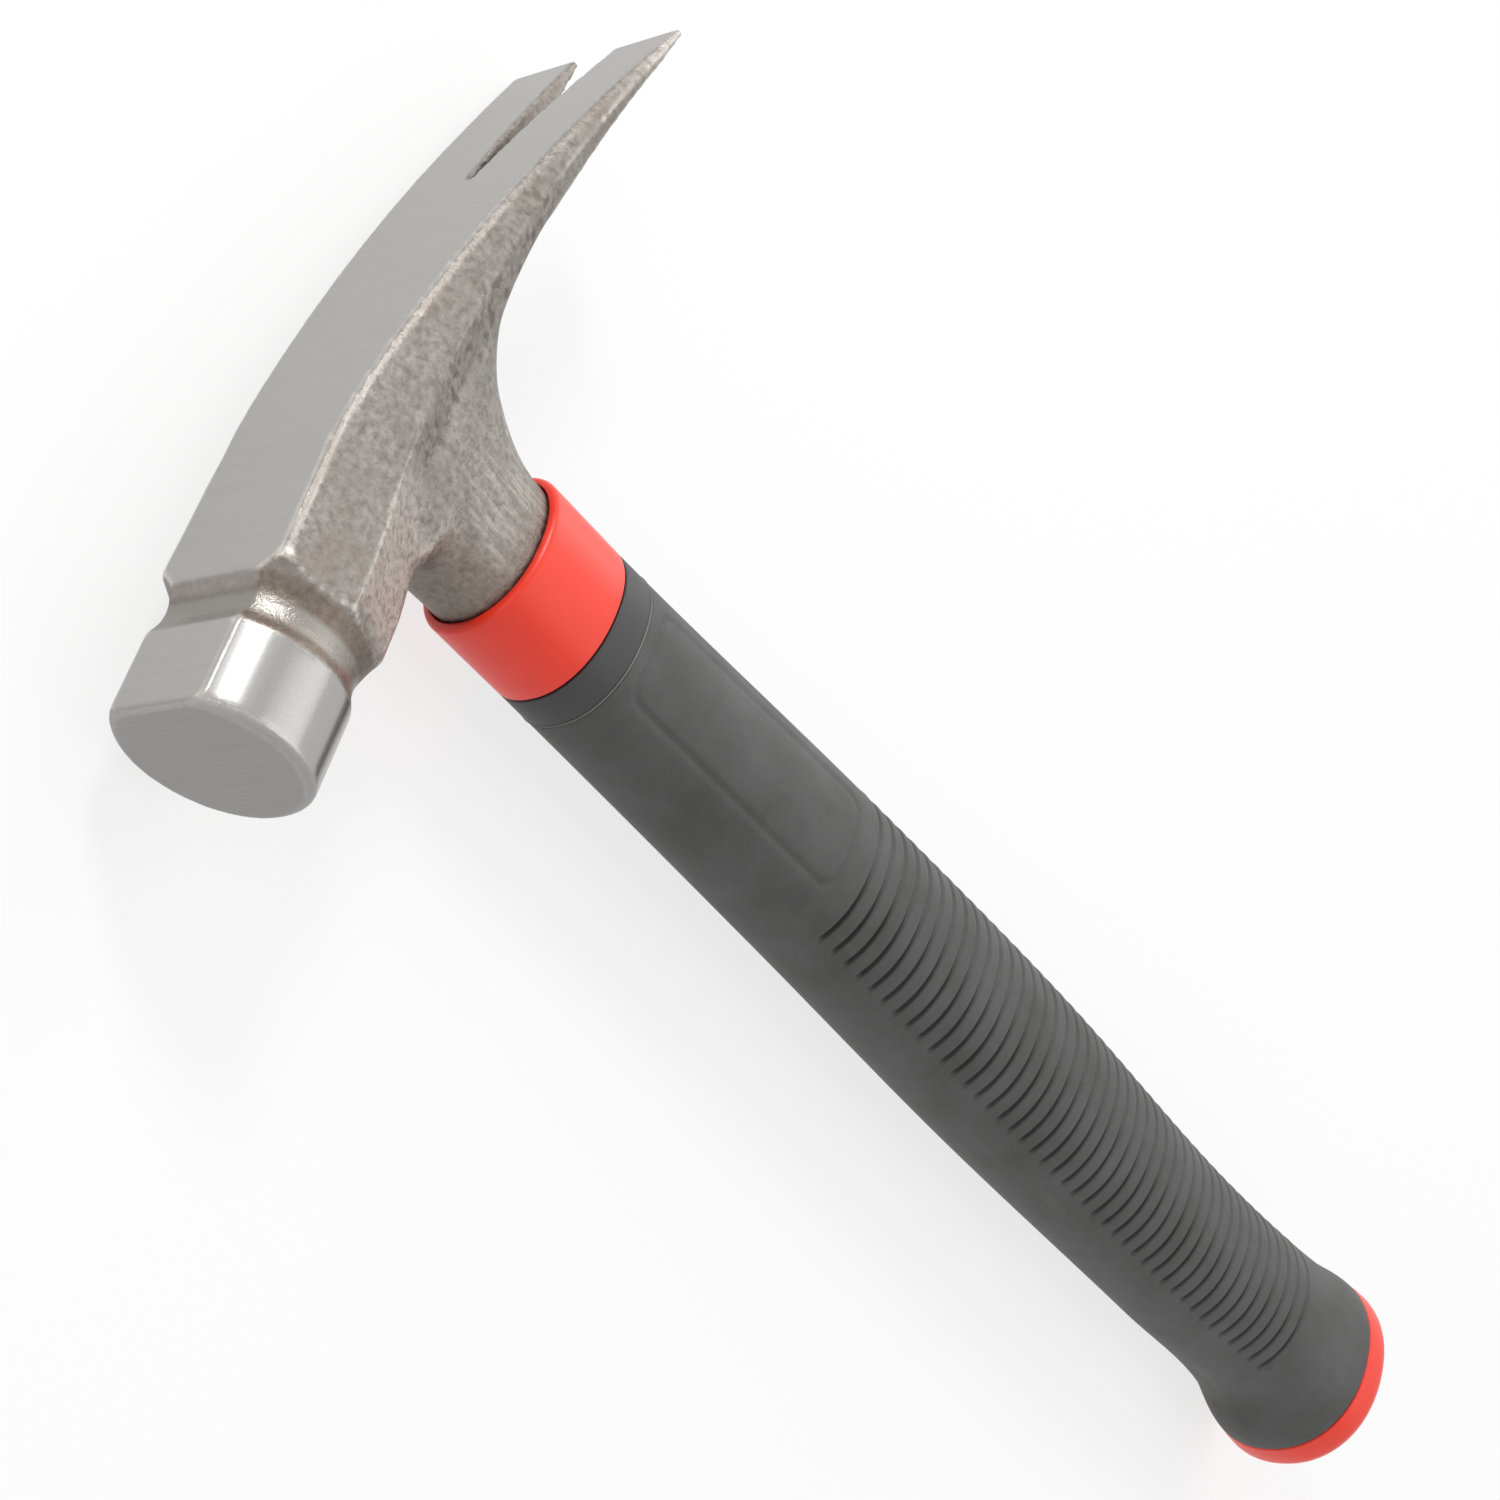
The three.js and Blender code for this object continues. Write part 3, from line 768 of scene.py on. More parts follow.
@dataclass(frozen=True)
class HeadWear:
    """Where each finish, painted highlight and painted shade of the head starts and ends, and how strong it
    is.

    Reaches, heights and half widths are in millimetres of the standing frame. Facings are parts of the
    skin's unit normal: fore is towards the striking face, side away from the middle plane, and up. What
    is spared is the share of the rubbing that stays off a place.
    """

    recess_fore: Edge = Edge(-0.5, 0.4)
    recess_aft: Edge = Edge(-0.3, 0.4)
    hollow_shift: float = 0.4
    hollow_half: Edge = Edge(0.9, 2.1)
    slot_reach: Edge = Edge(-38.0, -42.0)
    slot_half: Edge = Edge(5.5, 7.5)
    slot_wall: Edge = Edge(0.45, 0.7)
    top_skin: Edge = Edge(-1.3, -0.7)
    ground_up: Edge = Edge(0.78, 0.9)
    recess_unground: float = 0.6
    face_rim: Edge = Edge(-1.4, -0.9)
    turned_aft: Edge = Edge(-0.3, 0.5)
    proud_bend: Edge = Edge(0.16, 0.5)
    rubbed_low: Edge = Edge(-26.0, -20.0)
    turned_spared: float = 0.75
    face_spared: float = 0.8
    slot_spared: float = 0.8
    dull_level: float = -0.5
    dull_half: float = 2.5
    dull_front: Edge = Edge(0.0, 12.0)
    dull_rear: Edge = Edge(-56.0, -48.0)
    dull_spared: float = 0.85
    claw_reach: Edge = Edge(-40.0, -56.0)
    claw_spared: float = 0.5
    crease_tilt: float = -0.09
    crease_facing: Edge = Edge(0.06, 0.24)
    crease_side: Edge = Edge(0.75, 0.92)
    crease_low: Edge = Edge(-4.0, 0.0)
    crease_half: Edge = Edge(6.0, -2.0)
    crease_front: Edge = Edge(32.5, 34.0)
    crease_rear: Edge = Edge(0.0, 14.0)
    # Strength of the painted highlight along the crease
    crease_painted_highlight: float = 0.55
    beside_low: Edge = Edge(-5.0, -3.0)
    beside_high: Edge = Edge(2.0, 4.0)
    beside_rear: float = -40.0
    beside_spared: float = 0.9
    neck_top: Edge = Edge(-16.0, -8.0)
    neck_side: Edge = Edge(0.1, 0.6)
    neck_fore: Edge = Edge(0.1, 0.7)
    neck_foot: Edge = Edge(-21.0, -27.0)
    bevel_down: Edge = Edge(0.15, 0.4)
    bevel_side: Edge = Edge(0.5, 0.8)
    bevel_rear: Edge = Edge(4.0, 16.0)
    bevel_front: Edge = Edge(30.0, 34.0)
    # Strength of the painted reflection on the lower bevel
    bevel_painted_reflection: float = 0.5
    # Strengths of the painted shade on the neck's front, in the claw slot and at the neck's foot
    neck_front_shade: float = 0.7
    slot_shade: float = 0.35
    neck_foot_shade: float = 0.5
    belt_level: float = -1.5
    belt_slope: float = 0.02
    belt_half: float = 4.2
    belt_rear: Edge = Edge(-52.0, -34.0)
    belt_front: Edge = Edge(4.0, 14.0)
    belt_side: Edge = Edge(6.0, 8.0)


@dataclass
class HammerHead:
    """The forging: its solid resurfaced finely, edges eased and the neck blended into the cheeks."""

    standing: StandingFrame
    wear: HeadWear = HeadWear()
    voxel: float = 0.46
    ease_rounds: int = 5
    blend_rounds: int = 70
    smooth_factor: float = 0.5
    least_weight: float = 0.02
    foot_rear: Edge = Edge(-46.0, -34.0)
    foot_front: Edge = Edge(20.0, 27.0)
    foot_low: Edge = Edge(-26.0, -20.0)
    foot_high: Edge = Edge(-3.5, 1.5)
    foot_side: Edge = Edge(4.0, 7.0)
    spread_rounds: int = 2
    body_front: float = 34.6
    poll_back: float = 42.5
    bend_start: float = 15.0
    bend_length: float = 13.0
    bend_radius: float = 100.0
    sweep_radius: float = 362.0

    def top(self, reach: np.ndarray) -> np.ndarray:
        """Height of the ground top along the head.

        Args:
            reach: Reaches along the head.

        Returns:
            Heights in the standing frame.
        """
        run = np.maximum(0.0, self.bend_start - reach)
        bent = np.minimum(run, self.bend_length)
        swept = run - bent
        slope = self.bend_length / self.bend_radius
        return (
            self.standing.top_height
            - bent**2 / (2 * self.bend_radius)
            - slope * swept
            - swept**2 / (2 * self.sweep_radius)
        )

    def resurfaced(self) -> bpy.types.Object:
        """Copy the solid, merge it and resurface it evenly.

        Returns:
            The new object.
        """
        shape = bmesh.new()
        shape.from_mesh(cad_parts["hammer_head"].data)
        bmesh.ops.remove_doubles(shape, verts=shape.verts, dist=SAME_SOLID_POINT)
        head = mesh_object("forged_head", shape)
        remesh = head.modifiers.new("even_skin", "REMESH")
        remesh.mode = "VOXEL"
        remesh.voxel_size = self.voxel * MM
        settled(head)
        return head

    def blend(self, head: bpy.types.Object) -> None:
        """Ease every edge a little, and the foot of the neck a lot.

        Args:
            head: The resurfaced head.
        """
        x, y, z = self.arrays(head)[0].T
        along = self.foot_rear.rise(x) * self.foot_front.fall(x)
        height = self.foot_low.rise(z) * self.foot_high.fall(z)
        weight = along * height * self.foot_side.rise(np.abs(y))
        group = head.vertex_groups.new(name="neck_foot")
        for index in np.nonzero(weight > self.least_weight)[0]:
            group.add([int(index)], float(weight[index]), "REPLACE")
        for name, rounds, where in (
            ("neck_fillet", self.blend_rounds, group.name),
            ("eased_edges", self.ease_rounds, ""),
        ):
            smooth = head.modifiers.new(name, "SMOOTH")
            smooth.factor, smooth.iterations, smooth.vertex_group = self.smooth_factor, rounds, where
        settled(head)
        head.vertex_groups.clear()

    def arrays(self, head: bpy.types.Object) -> Tuple[np.ndarray, np.ndarray]:
        """Points and normals of the head in the standing frame.

        Args:
            head: The head.

        Returns:
            Points in millimetres, and unit normals.
        """
        count = len(head.data.vertices)
        points, normals = np.empty(count * 3), np.empty(count * 3)
        head.data.vertices.foreach_get("co", points)
        head.data.vertex_normals.foreach_get("vector", normals)
        return self.standing.coordinates(points.reshape(-1, 3)), normals.reshape(-1, 3)[:, [1, 2, 0]]

    def proudness(self, head: bpy.types.Object, points: np.ndarray, normals: np.ndarray) -> np.ndarray:
        """How sharply the skin bends outward at each point.

        Args:
            head: The head.
            points: Its points.
            normals: Its normals.

        Returns:
            Mean bend per millimetre, positive on proud edges.
        """
        ends = np.empty(len(head.data.edges) * 2, dtype=np.int64)
        head.data.edges.foreach_get("vertices", ends)
        a, b = ends.reshape(-1, 2).T

        def gathered(to_a: Any, to_b: Any) -> np.ndarray:
            """Sum, at each point, of what its edges bring.

            Args:
                to_a: What each edge brings to its first end.
                to_b: What each edge brings to its second end.

            Returns:
                One sum for each point.
            """
            total = np.zeros(len(points))
            np.add.at(total, a, to_a)
            np.add.at(total, b, to_b)
            return total

        step = points[b] - points[a]
        shortest = 1e-9
        bend = ((normals[b] - normals[a]) * step).sum(1) / np.maximum((step**2).sum(1), shortest)
        count = np.maximum(gathered(1.0, 1.0), 1.0)
        mean = gathered(bend, bend) / count
        for _ in range(self.spread_rounds):
            mean = 0.5 * mean + 0.5 * gathered(mean[b], mean[a]) / count
        return mean

    def mark(self, head: bpy.types.Object) -> None:
        """Write the finish attributes that the steel reads, painted highlights and shade among them.

        Args:
            head: The blended head.
        """
        wear = self.wear
        points, normals = self.arrays(head)
        (x, y, z), (fore, aside, up) = points.T, normals.T
        half, side = np.abs(y), np.abs(aside)
        recess = wear.recess_fore.rise(x - self.body_front) * wear.recess_aft.fall(x - self.poll_back)
        middle = (self.body_front + self.poll_back) / 2 + wear.hollow_shift
        hollow = recess * wear.hollow_half.fall(np.abs(x - middle))
        by_slot = wear.slot_reach.rise(x) * wear.slot_half.fall(half)
        in_slot = by_slot * wear.slot_wall.fall(up)
        near_top = wear.top_skin.rise(z - self.top(x))
        ground = wear.ground_up.rise(up) * near_top * (1 - wear.recess_unground * recess)
        face = wear.face_rim.rise(x - self.standing.face_reach)
        turned = wear.turned_aft.rise(x - self.poll_back) * (1 - face) * (1 - ground)

        # Proud edges are rubbed bright, less so where another finish or the dull belt takes over
        dull = np.exp(-(((z - wear.dull_level) / wear.dull_half) ** 2))
        dull = dull * wear.dull_front.fall(x) * wear.dull_rear.rise(x)
        before_groove = wear.crease_front.fall(x)
        beside = wear.beside_low.rise(z) * wear.beside_high.fall(z) * before_groove * (x > wear.beside_rear)
        rubbed_and_highlight = wear.proud_bend.rise(self.proudness(head, points, normals)) * wear.rubbed_low.rise(z)
        for spared, where in (
            (wear.turned_spared, turned),
            (wear.face_spared, face),
            (wear.slot_spared, by_slot),
            (wear.dull_spared, dull),
            (wear.claw_spared, wear.claw_reach.rise(x)),
            (wear.beside_spared, beside),
        ):
            rubbed_and_highlight = rubbed_and_highlight * (1 - spared * where)
        # The crease between the two drafts of the cheek gets one thin pale line, a painted highlight
        crease = wear.crease_facing.fall(np.abs(up - wear.crease_tilt)) * wear.crease_side.rise(side)
        crease = crease * wear.crease_low.rise(z) * wear.crease_half.rise(np.abs(z)) * before_groove
        # The lower bevel of each cheek takes the pale rubbed tone as a painted reflection of the floor
        bevel = wear.bevel_down.rise(-up) * wear.bevel_side.rise(side) * wear.bevel_rear.rise(x)
        rubbed_and_highlight = np.maximum(rubbed_and_highlight, wear.crease_painted_highlight * crease * wear.crease_rear.rise(x))
        rubbed_and_highlight = np.maximum(rubbed_and_highlight, wear.bevel_painted_reflection * bevel * wear.bevel_front.fall(x))

        # Painted shade: the front of the neck, its foot at the collar and the walls of the claw slot take
        # the recess's brown
        below = wear.neck_top.fall(z)
        painted_shade = np.maximum(wear.neck_front_shade * below * wear.neck_fore.rise(fore), wear.slot_shade * in_slot)
        painted_shade = np.maximum(painted_shade, wear.neck_foot_shade * wear.neck_foot.rise(z))
        belt_level = wear.belt_level + wear.belt_slope * x
        belt = np.exp(-(((z - belt_level) / wear.belt_half) ** 2))
        belt = belt * wear.belt_rear.rise(x) * wear.belt_front.fall(x) * wear.belt_side.rise(half)
        marks = {
            "ground": ground,
            "turned": turned,
            # The recess attribute also carries that painted shade
            "recess": np.maximum(recess, painted_shade) * (1 - ground),
            "face": face,
            "rubbed_and_highlight": rubbed_and_highlight,
            "pitted": belt * (1 - ground),
            "neck": below * wear.neck_side.rise(side),
            "hollow": hollow,
        }
        for name, values in marks.items():
            attribute = head.data.attributes.new(name, "FLOAT", "POINT")
            attribute.data.foreach_set("value", values.astype(np.float32))

    def build(self, finish: ForgedSteel) -> bpy.types.Object:
        """Build and dress the head.

        Args:
            finish: Steel of the head.

        Returns:
            The finished piece.
        """
        head = self.resurfaced()
        self.blend(head)
        head.data.shade_smooth()
        self.mark(head)
        seat(head, "hammer_head", finish.material())
        return head


@dataclass
class Collar:
    """Coloured sleeve round the neck: rounded top rim, eased lower edge."""

    standing: StandingFrame
    form: HandleForm
    rim_radius: float = 1.1
    rim_steps: int = 8
    foot_radius: float = 0.35
    wall_shares: Tuple[float, ...] = (0.2, 0.4, 0.6, 0.8)
    sides: int = 144

    def build(self, finish: MouldedPlastic) -> bpy.types.Object:
        """Build and dress the collar.

        Args:
            finish: Plastic of the collar.

        Returns:
            The finished piece.
        """
        top, bottom = self.form.collar_top, self.form.collar_bottom
        bore = self.form.neck.grown(self.form.gap)
        outside = self.form.collar_oval
        rings = [
            Ring(bottom, bore),
            *rounded(bottom, outside, self.foot_radius, upward=False),
            *[Ring(bottom + (top - bottom) * share, outside) for share in self.wall_shares],
            *rounded(top, outside, self.rim_radius, upward=True, steps=self.rim_steps),
            Ring(top, bore),
            Ring((top + bottom) / 2, bore),
            Ring(bottom, bore),
        ]
        piece = mesh_object("neck_collar", skin(self.standing, rings, self.sides))
        seat(piece, "collar", finish.material())
        return piece


@dataclass
class HandleCore:
    """Hard moulding inside the grip, which shows as a band under the collar."""

    standing: StandingFrame
    form: HandleForm
    edge: float = 0.3
    spigot_top: float = -37.3
    bore_radius: float = 8.8
    socket_radius: float = 8.2
    socket_top: float = -268.7
    flash_root: float = -0.6
    flash_edge: float = -0.02
    flash_crown: float = 0.1
    sides: int = 120

    def build(self, finish: MouldedPlastic) -> bpy.types.Object:
        """Build and dress the core.

        Args:
            finish: Plastic of the core.

        Returns:
            The finished piece.
        """
        form = self.form
        inner = form.neck
        bore = Oval(self.bore_radius, self.bore_radius)
        socket = Oval(self.socket_radius, self.socket_radius)
        rings = [
            Ring(form.butt[0], socket, ROUND),
            Ring(form.butt[0], inner),
            Ring(form.band_bottom, inner),
            *rounded(form.band_bottom, form.oval(form.band_bottom), self.edge, upward=False),
            *rounded(form.band_top, form.oval(form.band_top), self.edge, upward=True),
            Ring(form.band_top, inner),
            Ring(self.spigot_top, inner),
            Ring(self.spigot_top, bore, ROUND),
            Ring(self.socket_top, bore, ROUND),
            Ring(self.socket_top, socket, ROUND),
            Ring(form.butt[0], socket, ROUND),
        ]
        piece = mesh_object("core_band", skin(self.standing, rings, self.sides))
        seat(piece, "handle_core", finish.material())
        return piece

    def build_flash(self, finish: MouldedPlastic) -> bpy.types.Object:
        """Build the thin bead of flash in the joint between band and grip, whose pale grey is a painted
        highlight.

        Args:
            finish: Plastic of the flash.

        Returns:
            The finished piece.
        """
        low, high = self.form.grip_top, self.form.band_bottom
        joint = self.form.oval(high)
        steps = (
            (low, self.flash_root),
            (low, self.flash_edge),
            ((low + high) / 2, self.flash_crown),
            (high, self.flash_edge),
            (high, self.flash_root),
            (low, self.flash_root),
        )
        rings = [Ring(level, joint.grown(grow)) for level, grow in steps]
        bead = mesh_object("joint_flash", skin(self.standing, rings, self.sides))
        seat(bead, None, finish.material())
        return bead


@dataclass
class RubberGrip:
    """Rubber sleeve with its row of cut grooves, a plain framed panel and a mould mark near the butt."""

    standing: StandingFrame
    form: HandleForm
    groove_pitch: float = 3.64
    groove_width: float = 1.3
    groove_depth: float = 1.35
    groove_power: float = 1.5
    groove_stations: Tuple[float, ...] = (-1.25, -1.0, -0.8, -0.45, 0.0, 0.45, 0.8, 1.0, 1.25)
    groove_clear: float = 1.4
    rear_depth: float = 0.62
    rear_turn: Edge = Edge(math.radians(50), math.radians(120))
    rib_crown: float = 0.09
    plain_butt: float = 22.2
    near_strip: float = math.radians(29)
    far_strip: float = math.radians(40)
    run_out: float = math.radians(3.5)
    panel_top: float = -55.0
    panel_bottom: float = -107.0
    panel_angles: Tuple[float, float] = (math.radians(57), math.radians(121))
    panel_corner: float = 3.0
    panel_bulge: float = 1.0
    frame_depth: float = 0.4
    frame_width: float = 0.45
    mark_level: float = -264.4
    mark_angle: float = math.radians(37.5)
    mark_radius: float = 1.15
    mark_height: float = 0.5
    mark_rim: Edge = Edge(0.6, 1.3)
    butt_row: float = 0.55
    panel_row: float = 0.5
    lip: float = 0.45
    sides: int = 150

    def groove_levels(self) -> List[float]:
        """Levels of the grooves, from the lowest up.

        Returns:
            Heights in the standing frame.
        """
        first, bottom = self.form.shoulder[0], self.form.butt[0]
        count = int((first - bottom - self.plain_butt) / self.groove_pitch)
        return [first - self.groove_pitch * k for k in range(count, -1, -1)]

    @staticmethod
    def turn(angle: float) -> float:
        """Angle from the front, to either side."""
        return min(angle % (2 * math.pi), 2 * math.pi - angle % (2 * math.pi))

    def start_share(self, angle: float) -> float:
        """How far a groove has started at an angle from the front.

        Args:
            angle: Angle round the grip.

        Returns:
            0 on the smooth front strip and 1 past the groove's end.
        """
        strip = self.near_strip if angle % (2 * math.pi) < math.pi else self.far_strip
        return float(ease(strip, strip + self.run_out, self.turn(angle)))

    def groove_cut(self, across: float) -> Callable[[float, float], float]:
        """Depth round a ring that lies part of the way across a groove.

        Args:
            across: 0 at the middle of the groove and 1 at its edge.

        Returns:
            Function of level and angle that gives the depth there.
        """
        share = 1 - across**self.groove_power

        def cut(_level: float, angle: float) -> float:
            """Depth of the groove at an angle.

            Args:
                _level: Height of the ring, which changes nothing here.
                angle: Angle from the front.

            Returns:
                Depth at that angle.
            """
            rear = float(self.rear_turn.rise(self.turn(angle)))
            depth = self.groove_depth + (self.rear_depth - self.groove_depth) * rear
            return share * self.start_share(angle) * depth

        return cut

    def crest_cut(self, _level: float, angle: float) -> float:
        """Crown of a rib between two grooves, as a negative depth."""
        return -self.rib_crown * self.start_share(angle)

    def panel_cut(self, level: float, angle: float) -> float:
        """Depth of the frame line round the plain panel.

        Args:
            level: Height in the standing frame.
            angle: Angle from the front.

        Returns:
            Depth at that point.
        """
        radius = self.form.shoulder[1].width + self.panel_bulge
        corner = self.panel_corner
        half_turn = (self.panel_angles[1] - self.panel_angles[0]) / 2 * radius
        half_length = (self.panel_top - self.panel_bottom) / 2
        along = abs(level - (self.panel_top + self.panel_bottom) / 2) - half_length + corner
        around = abs((angle - sum(self.panel_angles) / 2) * radius) - half_turn + corner
        outside = math.hypot(max(along, 0), max(around, 0)) + min(max(along, around), 0) - corner
        return self.frame_depth * math.exp(-((outside / self.frame_width) ** 2))

    def mark_cut(self, level: float, angle: float) -> float:
        """Height of the round mould mark, as a negative depth.

        Args:
            level: Height in the standing frame.
            angle: Angle from the front.

        Returns:
            Depth at that point, below zero where the mark stands proud.
        """
        radius = self.form.flare[1].width
        away = math.hypot(level - self.mark_level, (angle - self.mark_angle) * radius)
        return -self.mark_height * float(self.mark_rim.fall(away / self.mark_radius))

    def build(self, finish: MouldedRubber) -> bpy.types.Object:
        """Build and dress the grip.

        Args:
            finish: Rubber of the grip.

        Returns:
            The finished piece.
        """
        form = self.form
        top, bottom = form.grip_top, form.butt[0]
        bore = form.neck.grown(form.gap)
        grooves = self.groove_levels()
        half = self.groove_width / 2
        rings = [Ring(bottom, bore), *rounded(bottom, form.oval(bottom), self.lip, upward=False)]
        low_end = grooves[0] - half * self.groove_clear
        for level in np.arange(bottom + 2 * self.lip, low_end, self.butt_row):
            rings.append(Ring(float(level), form.oval(float(level)), cut=self.mark_cut))
        for groove in grooves:
            for across in self.groove_stations:
                level = groove + across * half
                rings.append(Ring(level, form.oval(level), cut=self.groove_cut(min(1.0, abs(across)))))
            crest = groove + self.groove_pitch / 2
            rings.append(Ring(crest, form.oval(crest), cut=self.crest_cut))
        high_end = grooves[-1] + self.groove_pitch / 2 + half
        for level in np.arange(high_end, top - 2 * self.lip, self.panel_row):
            rings.append(Ring(float(level), form.oval(float(level)), cut=self.panel_cut))
        rings += rounded(top, form.oval(top), self.lip, upward=True)
        rings += [Ring(top, bore), Ring((top + bottom) / 2, bore), Ring(bottom, bore)]
        piece = mesh_object("rubber_grip", skin(self.standing, rings, self.sides))
        seat(piece, "grip", finish.material())
        return piece


@dataclass
class EndCap:
    """Coloured lid on the butt with a rounded edge and the stem that plugs the core."""

    standing: StandingFrame
    form: HandleForm
    height: float = 8.1
    bulge: float = 0.35
    edge_radius: float = 3.9
    edge_steps: int = 12
    flat_shares: Tuple[float, ...] = (0.0, 0.3, 0.6, 0.9)
    wall_share: float = 0.25
    wall_draft: float = 0.1
    lip: float = 0.35
    stem_radius: float = 7.9
    stem_length: float = 16.0
    stem_root: float = 1.0
    stem_chamfer: float = 0.5
    sides: int = 144

    def build(self, finish: MouldedPlastic) -> bpy.types.Object:
        """Build and dress the cap.

        Args:
            finish: Plastic of the cap.

        Returns:
            The finished piece.
        """
        butt = self.form.butt[1]
        top = self.form.butt[0] - self.form.gap
        bottom = top - self.height
        stem_end = top + self.stem_length
        rim = butt.grown(self.bulge)
        flat = rim.grown(-self.edge_radius)
        stem = Oval(self.stem_radius, self.stem_radius)
        rings = [
            *[Ring(bottom, Oval(flat.depth * s, flat.width * s, flat.lean)) for s in self.flat_shares],
            *rounded(bottom, rim, self.edge_radius, upward=False, steps=self.edge_steps),
            Ring(top - self.height * self.wall_share, rim.grown(-self.wall_draft)),
            *rounded(top, butt, self.lip, upward=True),
            Ring(top, stem.grown(self.stem_root), ROUND),
            Ring(top, stem, ROUND),
            Ring(stem_end - self.stem_chamfer, stem, ROUND),
            Ring(stem_end, stem.grown(-self.stem_chamfer), ROUND),
            Ring(stem_end, Oval(0.0, 0.0), ROUND),
        ]
        piece = mesh_object("butt_cap", skin(self.standing, rings, self.sides))
        seat(piece, "end_cap", finish.material())
        return piece


# Studio


@dataclass(frozen=True)
class Softbox:
    """Lamp of the studio: direction from the hammer, distance and size in metres, and power in watts."""

    direction: Tuple[float, float, float]
    distance: float
    size: float
    power: float


class LampRole(Enum):
    """What each lamp of the studio does."""

    KEY = Softbox((0.66, -0.5, 0.56), 0.95, 0.19, 4.0)
    TOP = Softbox((-0.4, -0.1, 1.0), 1.3, 1.2, 3.6)
    FRONT = Softbox((0.75, 0.6, 0.35), 1.3, 0.7, 1.2)
    REAR = Softbox((-0.3, -0.85, 0.45), 1.2, 0.8, 3.2)


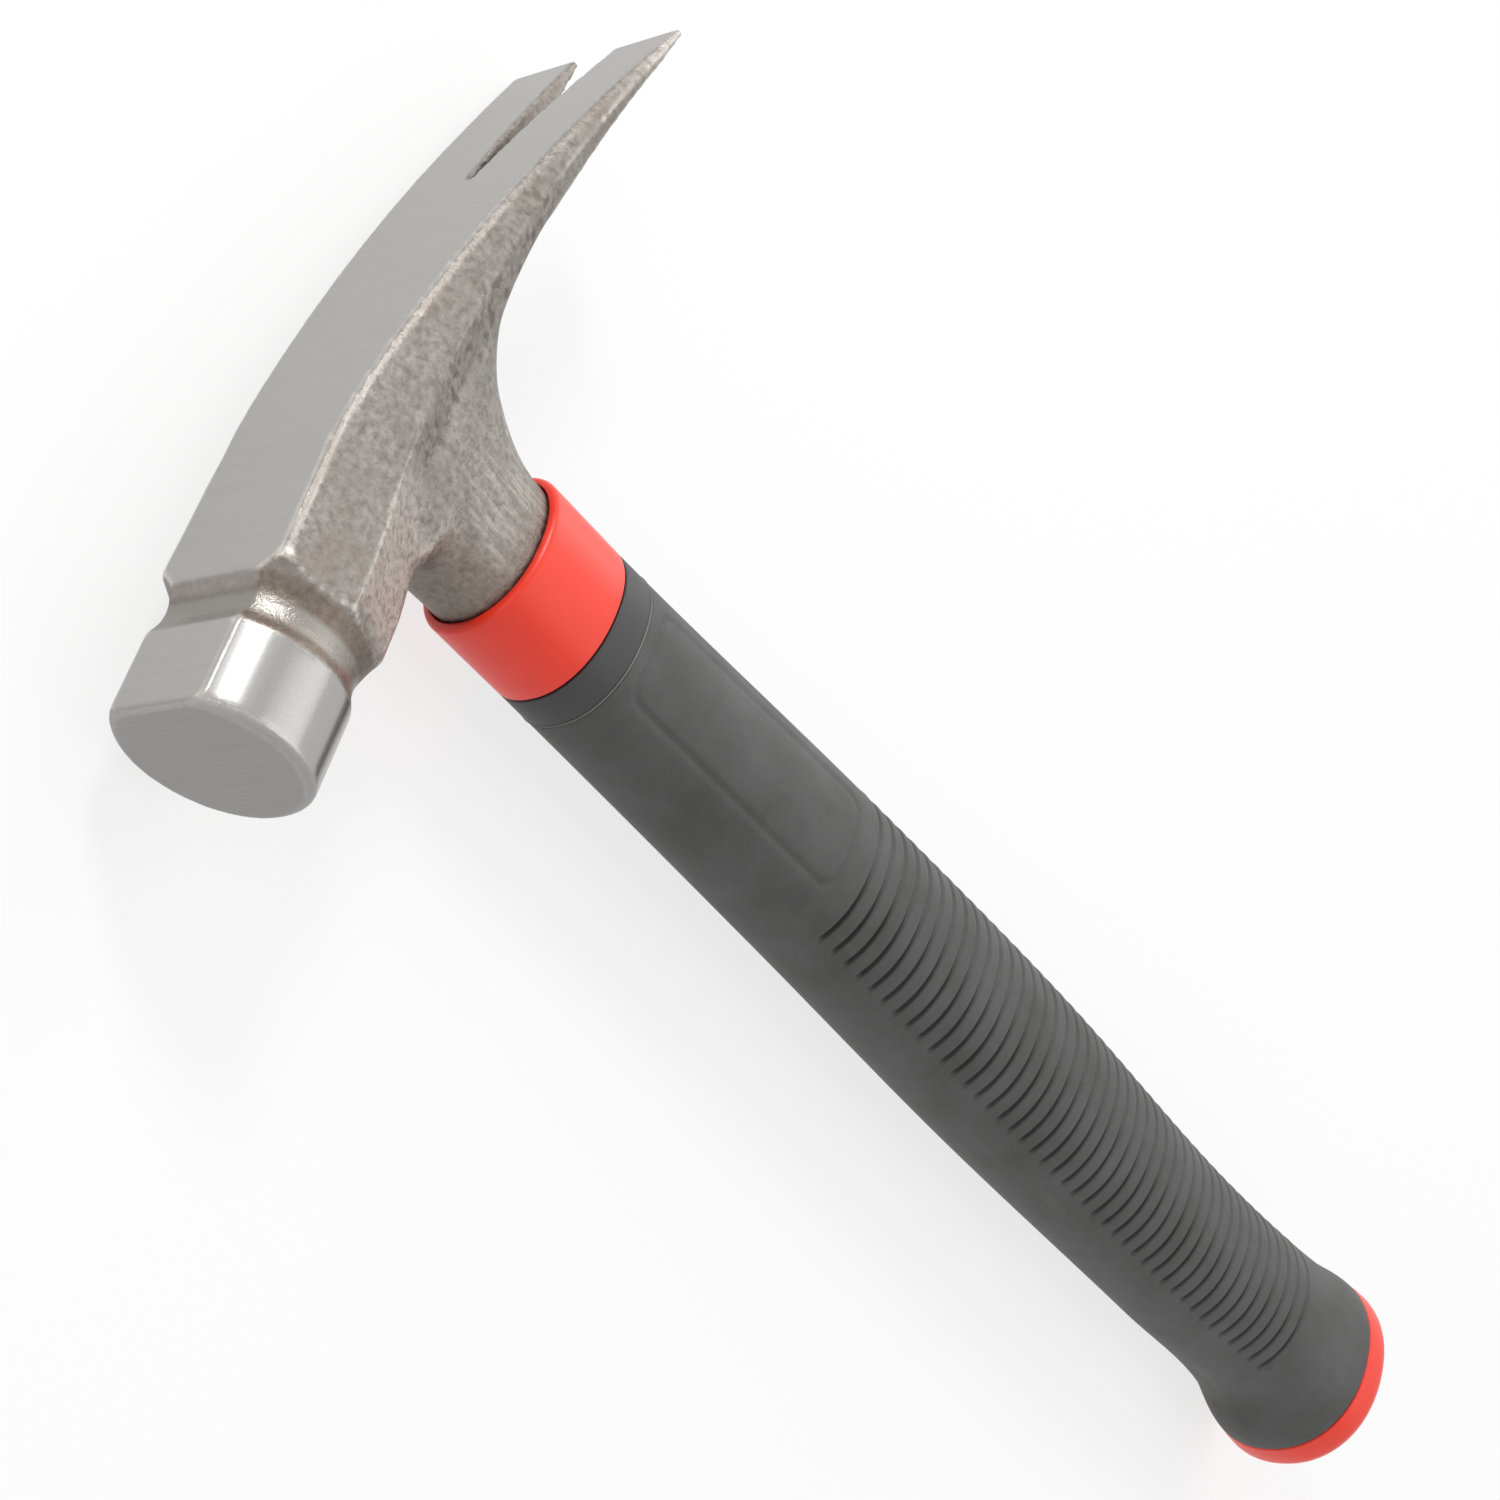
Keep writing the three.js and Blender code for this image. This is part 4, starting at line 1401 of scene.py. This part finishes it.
@dataclass
class Studio:
    """Pale floor, soft light and the camera of the photograph."""

    standing: StandingFrame
    camera_place: Tuple[float, float, float] = (235.58, 302.77, 210.03)
    camera_target: Tuple[float, float, float] = (-3.08, 7.64, -83.8)
    camera_roll: float = math.radians(83.07)
    lens: float = 75.65
    sensor: float = 36.0
    clip: Tuple[float, float] = (0.01, 50.0)
    ambient: float = 0.57
    floor_size: float = 60.0
    floor_colour: str = "#F4F4F4"
    floor_lift: float = 0.75
    lamp_aim: Tuple[float, float, float] = (0.0, 0.0, -60.0)

    def camera(self) -> None:
        """Place the camera as the photograph was taken."""
        data = bpy.data.cameras.new("photo_camera")
        data.sensor_width, data.lens = self.sensor, self.lens
        data.clip_start, data.clip_end = self.clip
        camera = bpy.data.objects.new("photo_camera", data)
        bpy.context.scene.collection.objects.link(camera)
        place = self.standing.place(*self.camera_place)
        ahead = (self.standing.place(*self.camera_target) - place).normalized()
        level_right = ahead.cross(Vector((0, 0, 1))).normalized()
        level_up = level_right.cross(ahead)
        c, s = math.cos(self.camera_roll), math.sin(self.camera_roll)
        right, up = level_right * c + level_up * s, level_up * c - level_right * s
        turned = Matrix((right, up, -ahead)).transposed().to_4x4()
        camera.matrix_world = Matrix.Translation(place) @ turned
        bpy.context.scene.camera = camera

    def seen_share(self, tree: bpy.types.NodeTree) -> bpy.types.NodeSocket:
        """Socket that is 1 for camera, glossy and transmission rays.

        Args:
            tree: Node tree to add to.

        Returns:
            The socket.
        """
        path = add_node(tree, "ShaderNodeLightPath").outputs
        share = path["Is Camera Ray"]
        for other in ("Is Glossy Ray", "Is Transmission Ray"):
            share = add_node(
                tree, "ShaderNodeMath", {0: share, 1: path[other]}, operation="MAXIMUM"
            ).outputs["Value"]
        return share

    def world(self) -> None:
        """White surround that lights the hammer softly."""
        world = bpy.data.worlds.new("studio")
        bpy.context.scene.world = world
        world.use_nodes = True
        tree = world.node_tree
        tree.nodes.clear()
        strength = add_node(
            tree,
            "ShaderNodeMapRange",
            {"Value": self.seen_share(tree), "To Min": self.ambient, "To Max": 1.0},
        ).outputs["Result"]
        background = add_node(tree, "ShaderNodeBackground", {"Color": WHITE, "Strength": strength})
        add_node(tree, "ShaderNodeOutputWorld", {"Surface": background.outputs["Background"]})

    def floor(self) -> None:
        """Pale floor that keeps a soft shadow."""
        shape = bmesh.new()
        bmesh.ops.create_grid(shape, x_segments=1, y_segments=1, size=self.floor_size / 2)
        floor = mesh_object("floor", shape)
        material, tree = blank_material("studio_floor")
        shade = add_node(tree, "ShaderNodeBsdfDiffuse", {"Color": linear(self.floor_colour)})
        white = add_node(tree, "ShaderNodeEmission", {"Color": WHITE, "Strength": 1.0})
        lift = add_node(
            tree, "ShaderNodeMath", {0: self.seen_share(tree), 1: self.floor_lift}, operation="MULTIPLY"
        )
        mixed = add_node(
            tree,
            "ShaderNodeMixShader",
            {"Fac": lift.outputs["Value"], 1: shade.outputs["BSDF"], 2: white.outputs["Emission"]},
        )
        add_node(tree, "ShaderNodeOutputMaterial", {"Surface": mixed.outputs["Shader"]})
        floor.data.materials.append(material)

    def lamps(self) -> None:
        """Hang the softboxes."""
        aim = self.standing.place(*self.lamp_aim)
        for role in LampRole:
            box = role.value
            data = bpy.data.lights.new(role.name.lower(), "AREA")
            data.shape, data.size, data.energy = "SQUARE", box.size, box.power
            lamp = bpy.data.objects.new(data.name, data)
            bpy.context.scene.collection.objects.link(lamp)
            away = Vector(box.direction).normalized()
            lamp.location = aim + away * box.distance
            lamp.rotation_mode = "QUATERNION"
            lamp.rotation_quaternion = (-away).to_track_quat("-Z", "Y")

    def build(self) -> None:
        """Set up the whole studio."""
        bpy.context.scene.view_settings.view_transform = "Standard"
        self.world()
        self.floor()
        self.lamps()
        self.camera()


def dress_inner_steel(finish: DrawnSteel) -> None:
    """Give the hidden tube and pins their finish.

    Args:
        finish: Steel of the tube and pins.
    """
    material = finish.material()
    for name in ("shaft_tube", "upper_tang_pin", "lower_tang_pin"):
        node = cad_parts[name]
        node.data.materials.clear()
        node.data.materials.append(material)
        LOG.info("%s: kept solid", name)


def main() -> None:
    """Build every piece and the studio."""
    logging.basicConfig(level=logging.INFO, format="%(name)s %(message)s")
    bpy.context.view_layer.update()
    standing = StandingFrame.from_head()
    form = HandleForm()
    coloured = MouldedPlastic("moulded_signal_red", "#F63A22", "#EC331C", roughness=0.36)
    black = MouldedPlastic("moulded_black", "#3A3A3B", "#303031", roughness=0.5)
    # The flash bead's pale grey is a painted highlight along the joint
    flash_highlight = MouldedPlastic("flash_painted_highlight", "#7C7C7A", "#5A5A59", roughness=0.5)
    HammerHead(standing).build(ForgedSteel())
    Collar(standing, form).build(coloured)
    core = HandleCore(standing, form)
    core.build(black)
    core.build_flash(flash_highlight)
    RubberGrip(standing, form).build(MouldedRubber())
    EndCap(standing, form).build(coloured)
    dress_inner_steel(DrawnSteel())
    Studio(standing).build()


if __name__ == "__main__":
    main()
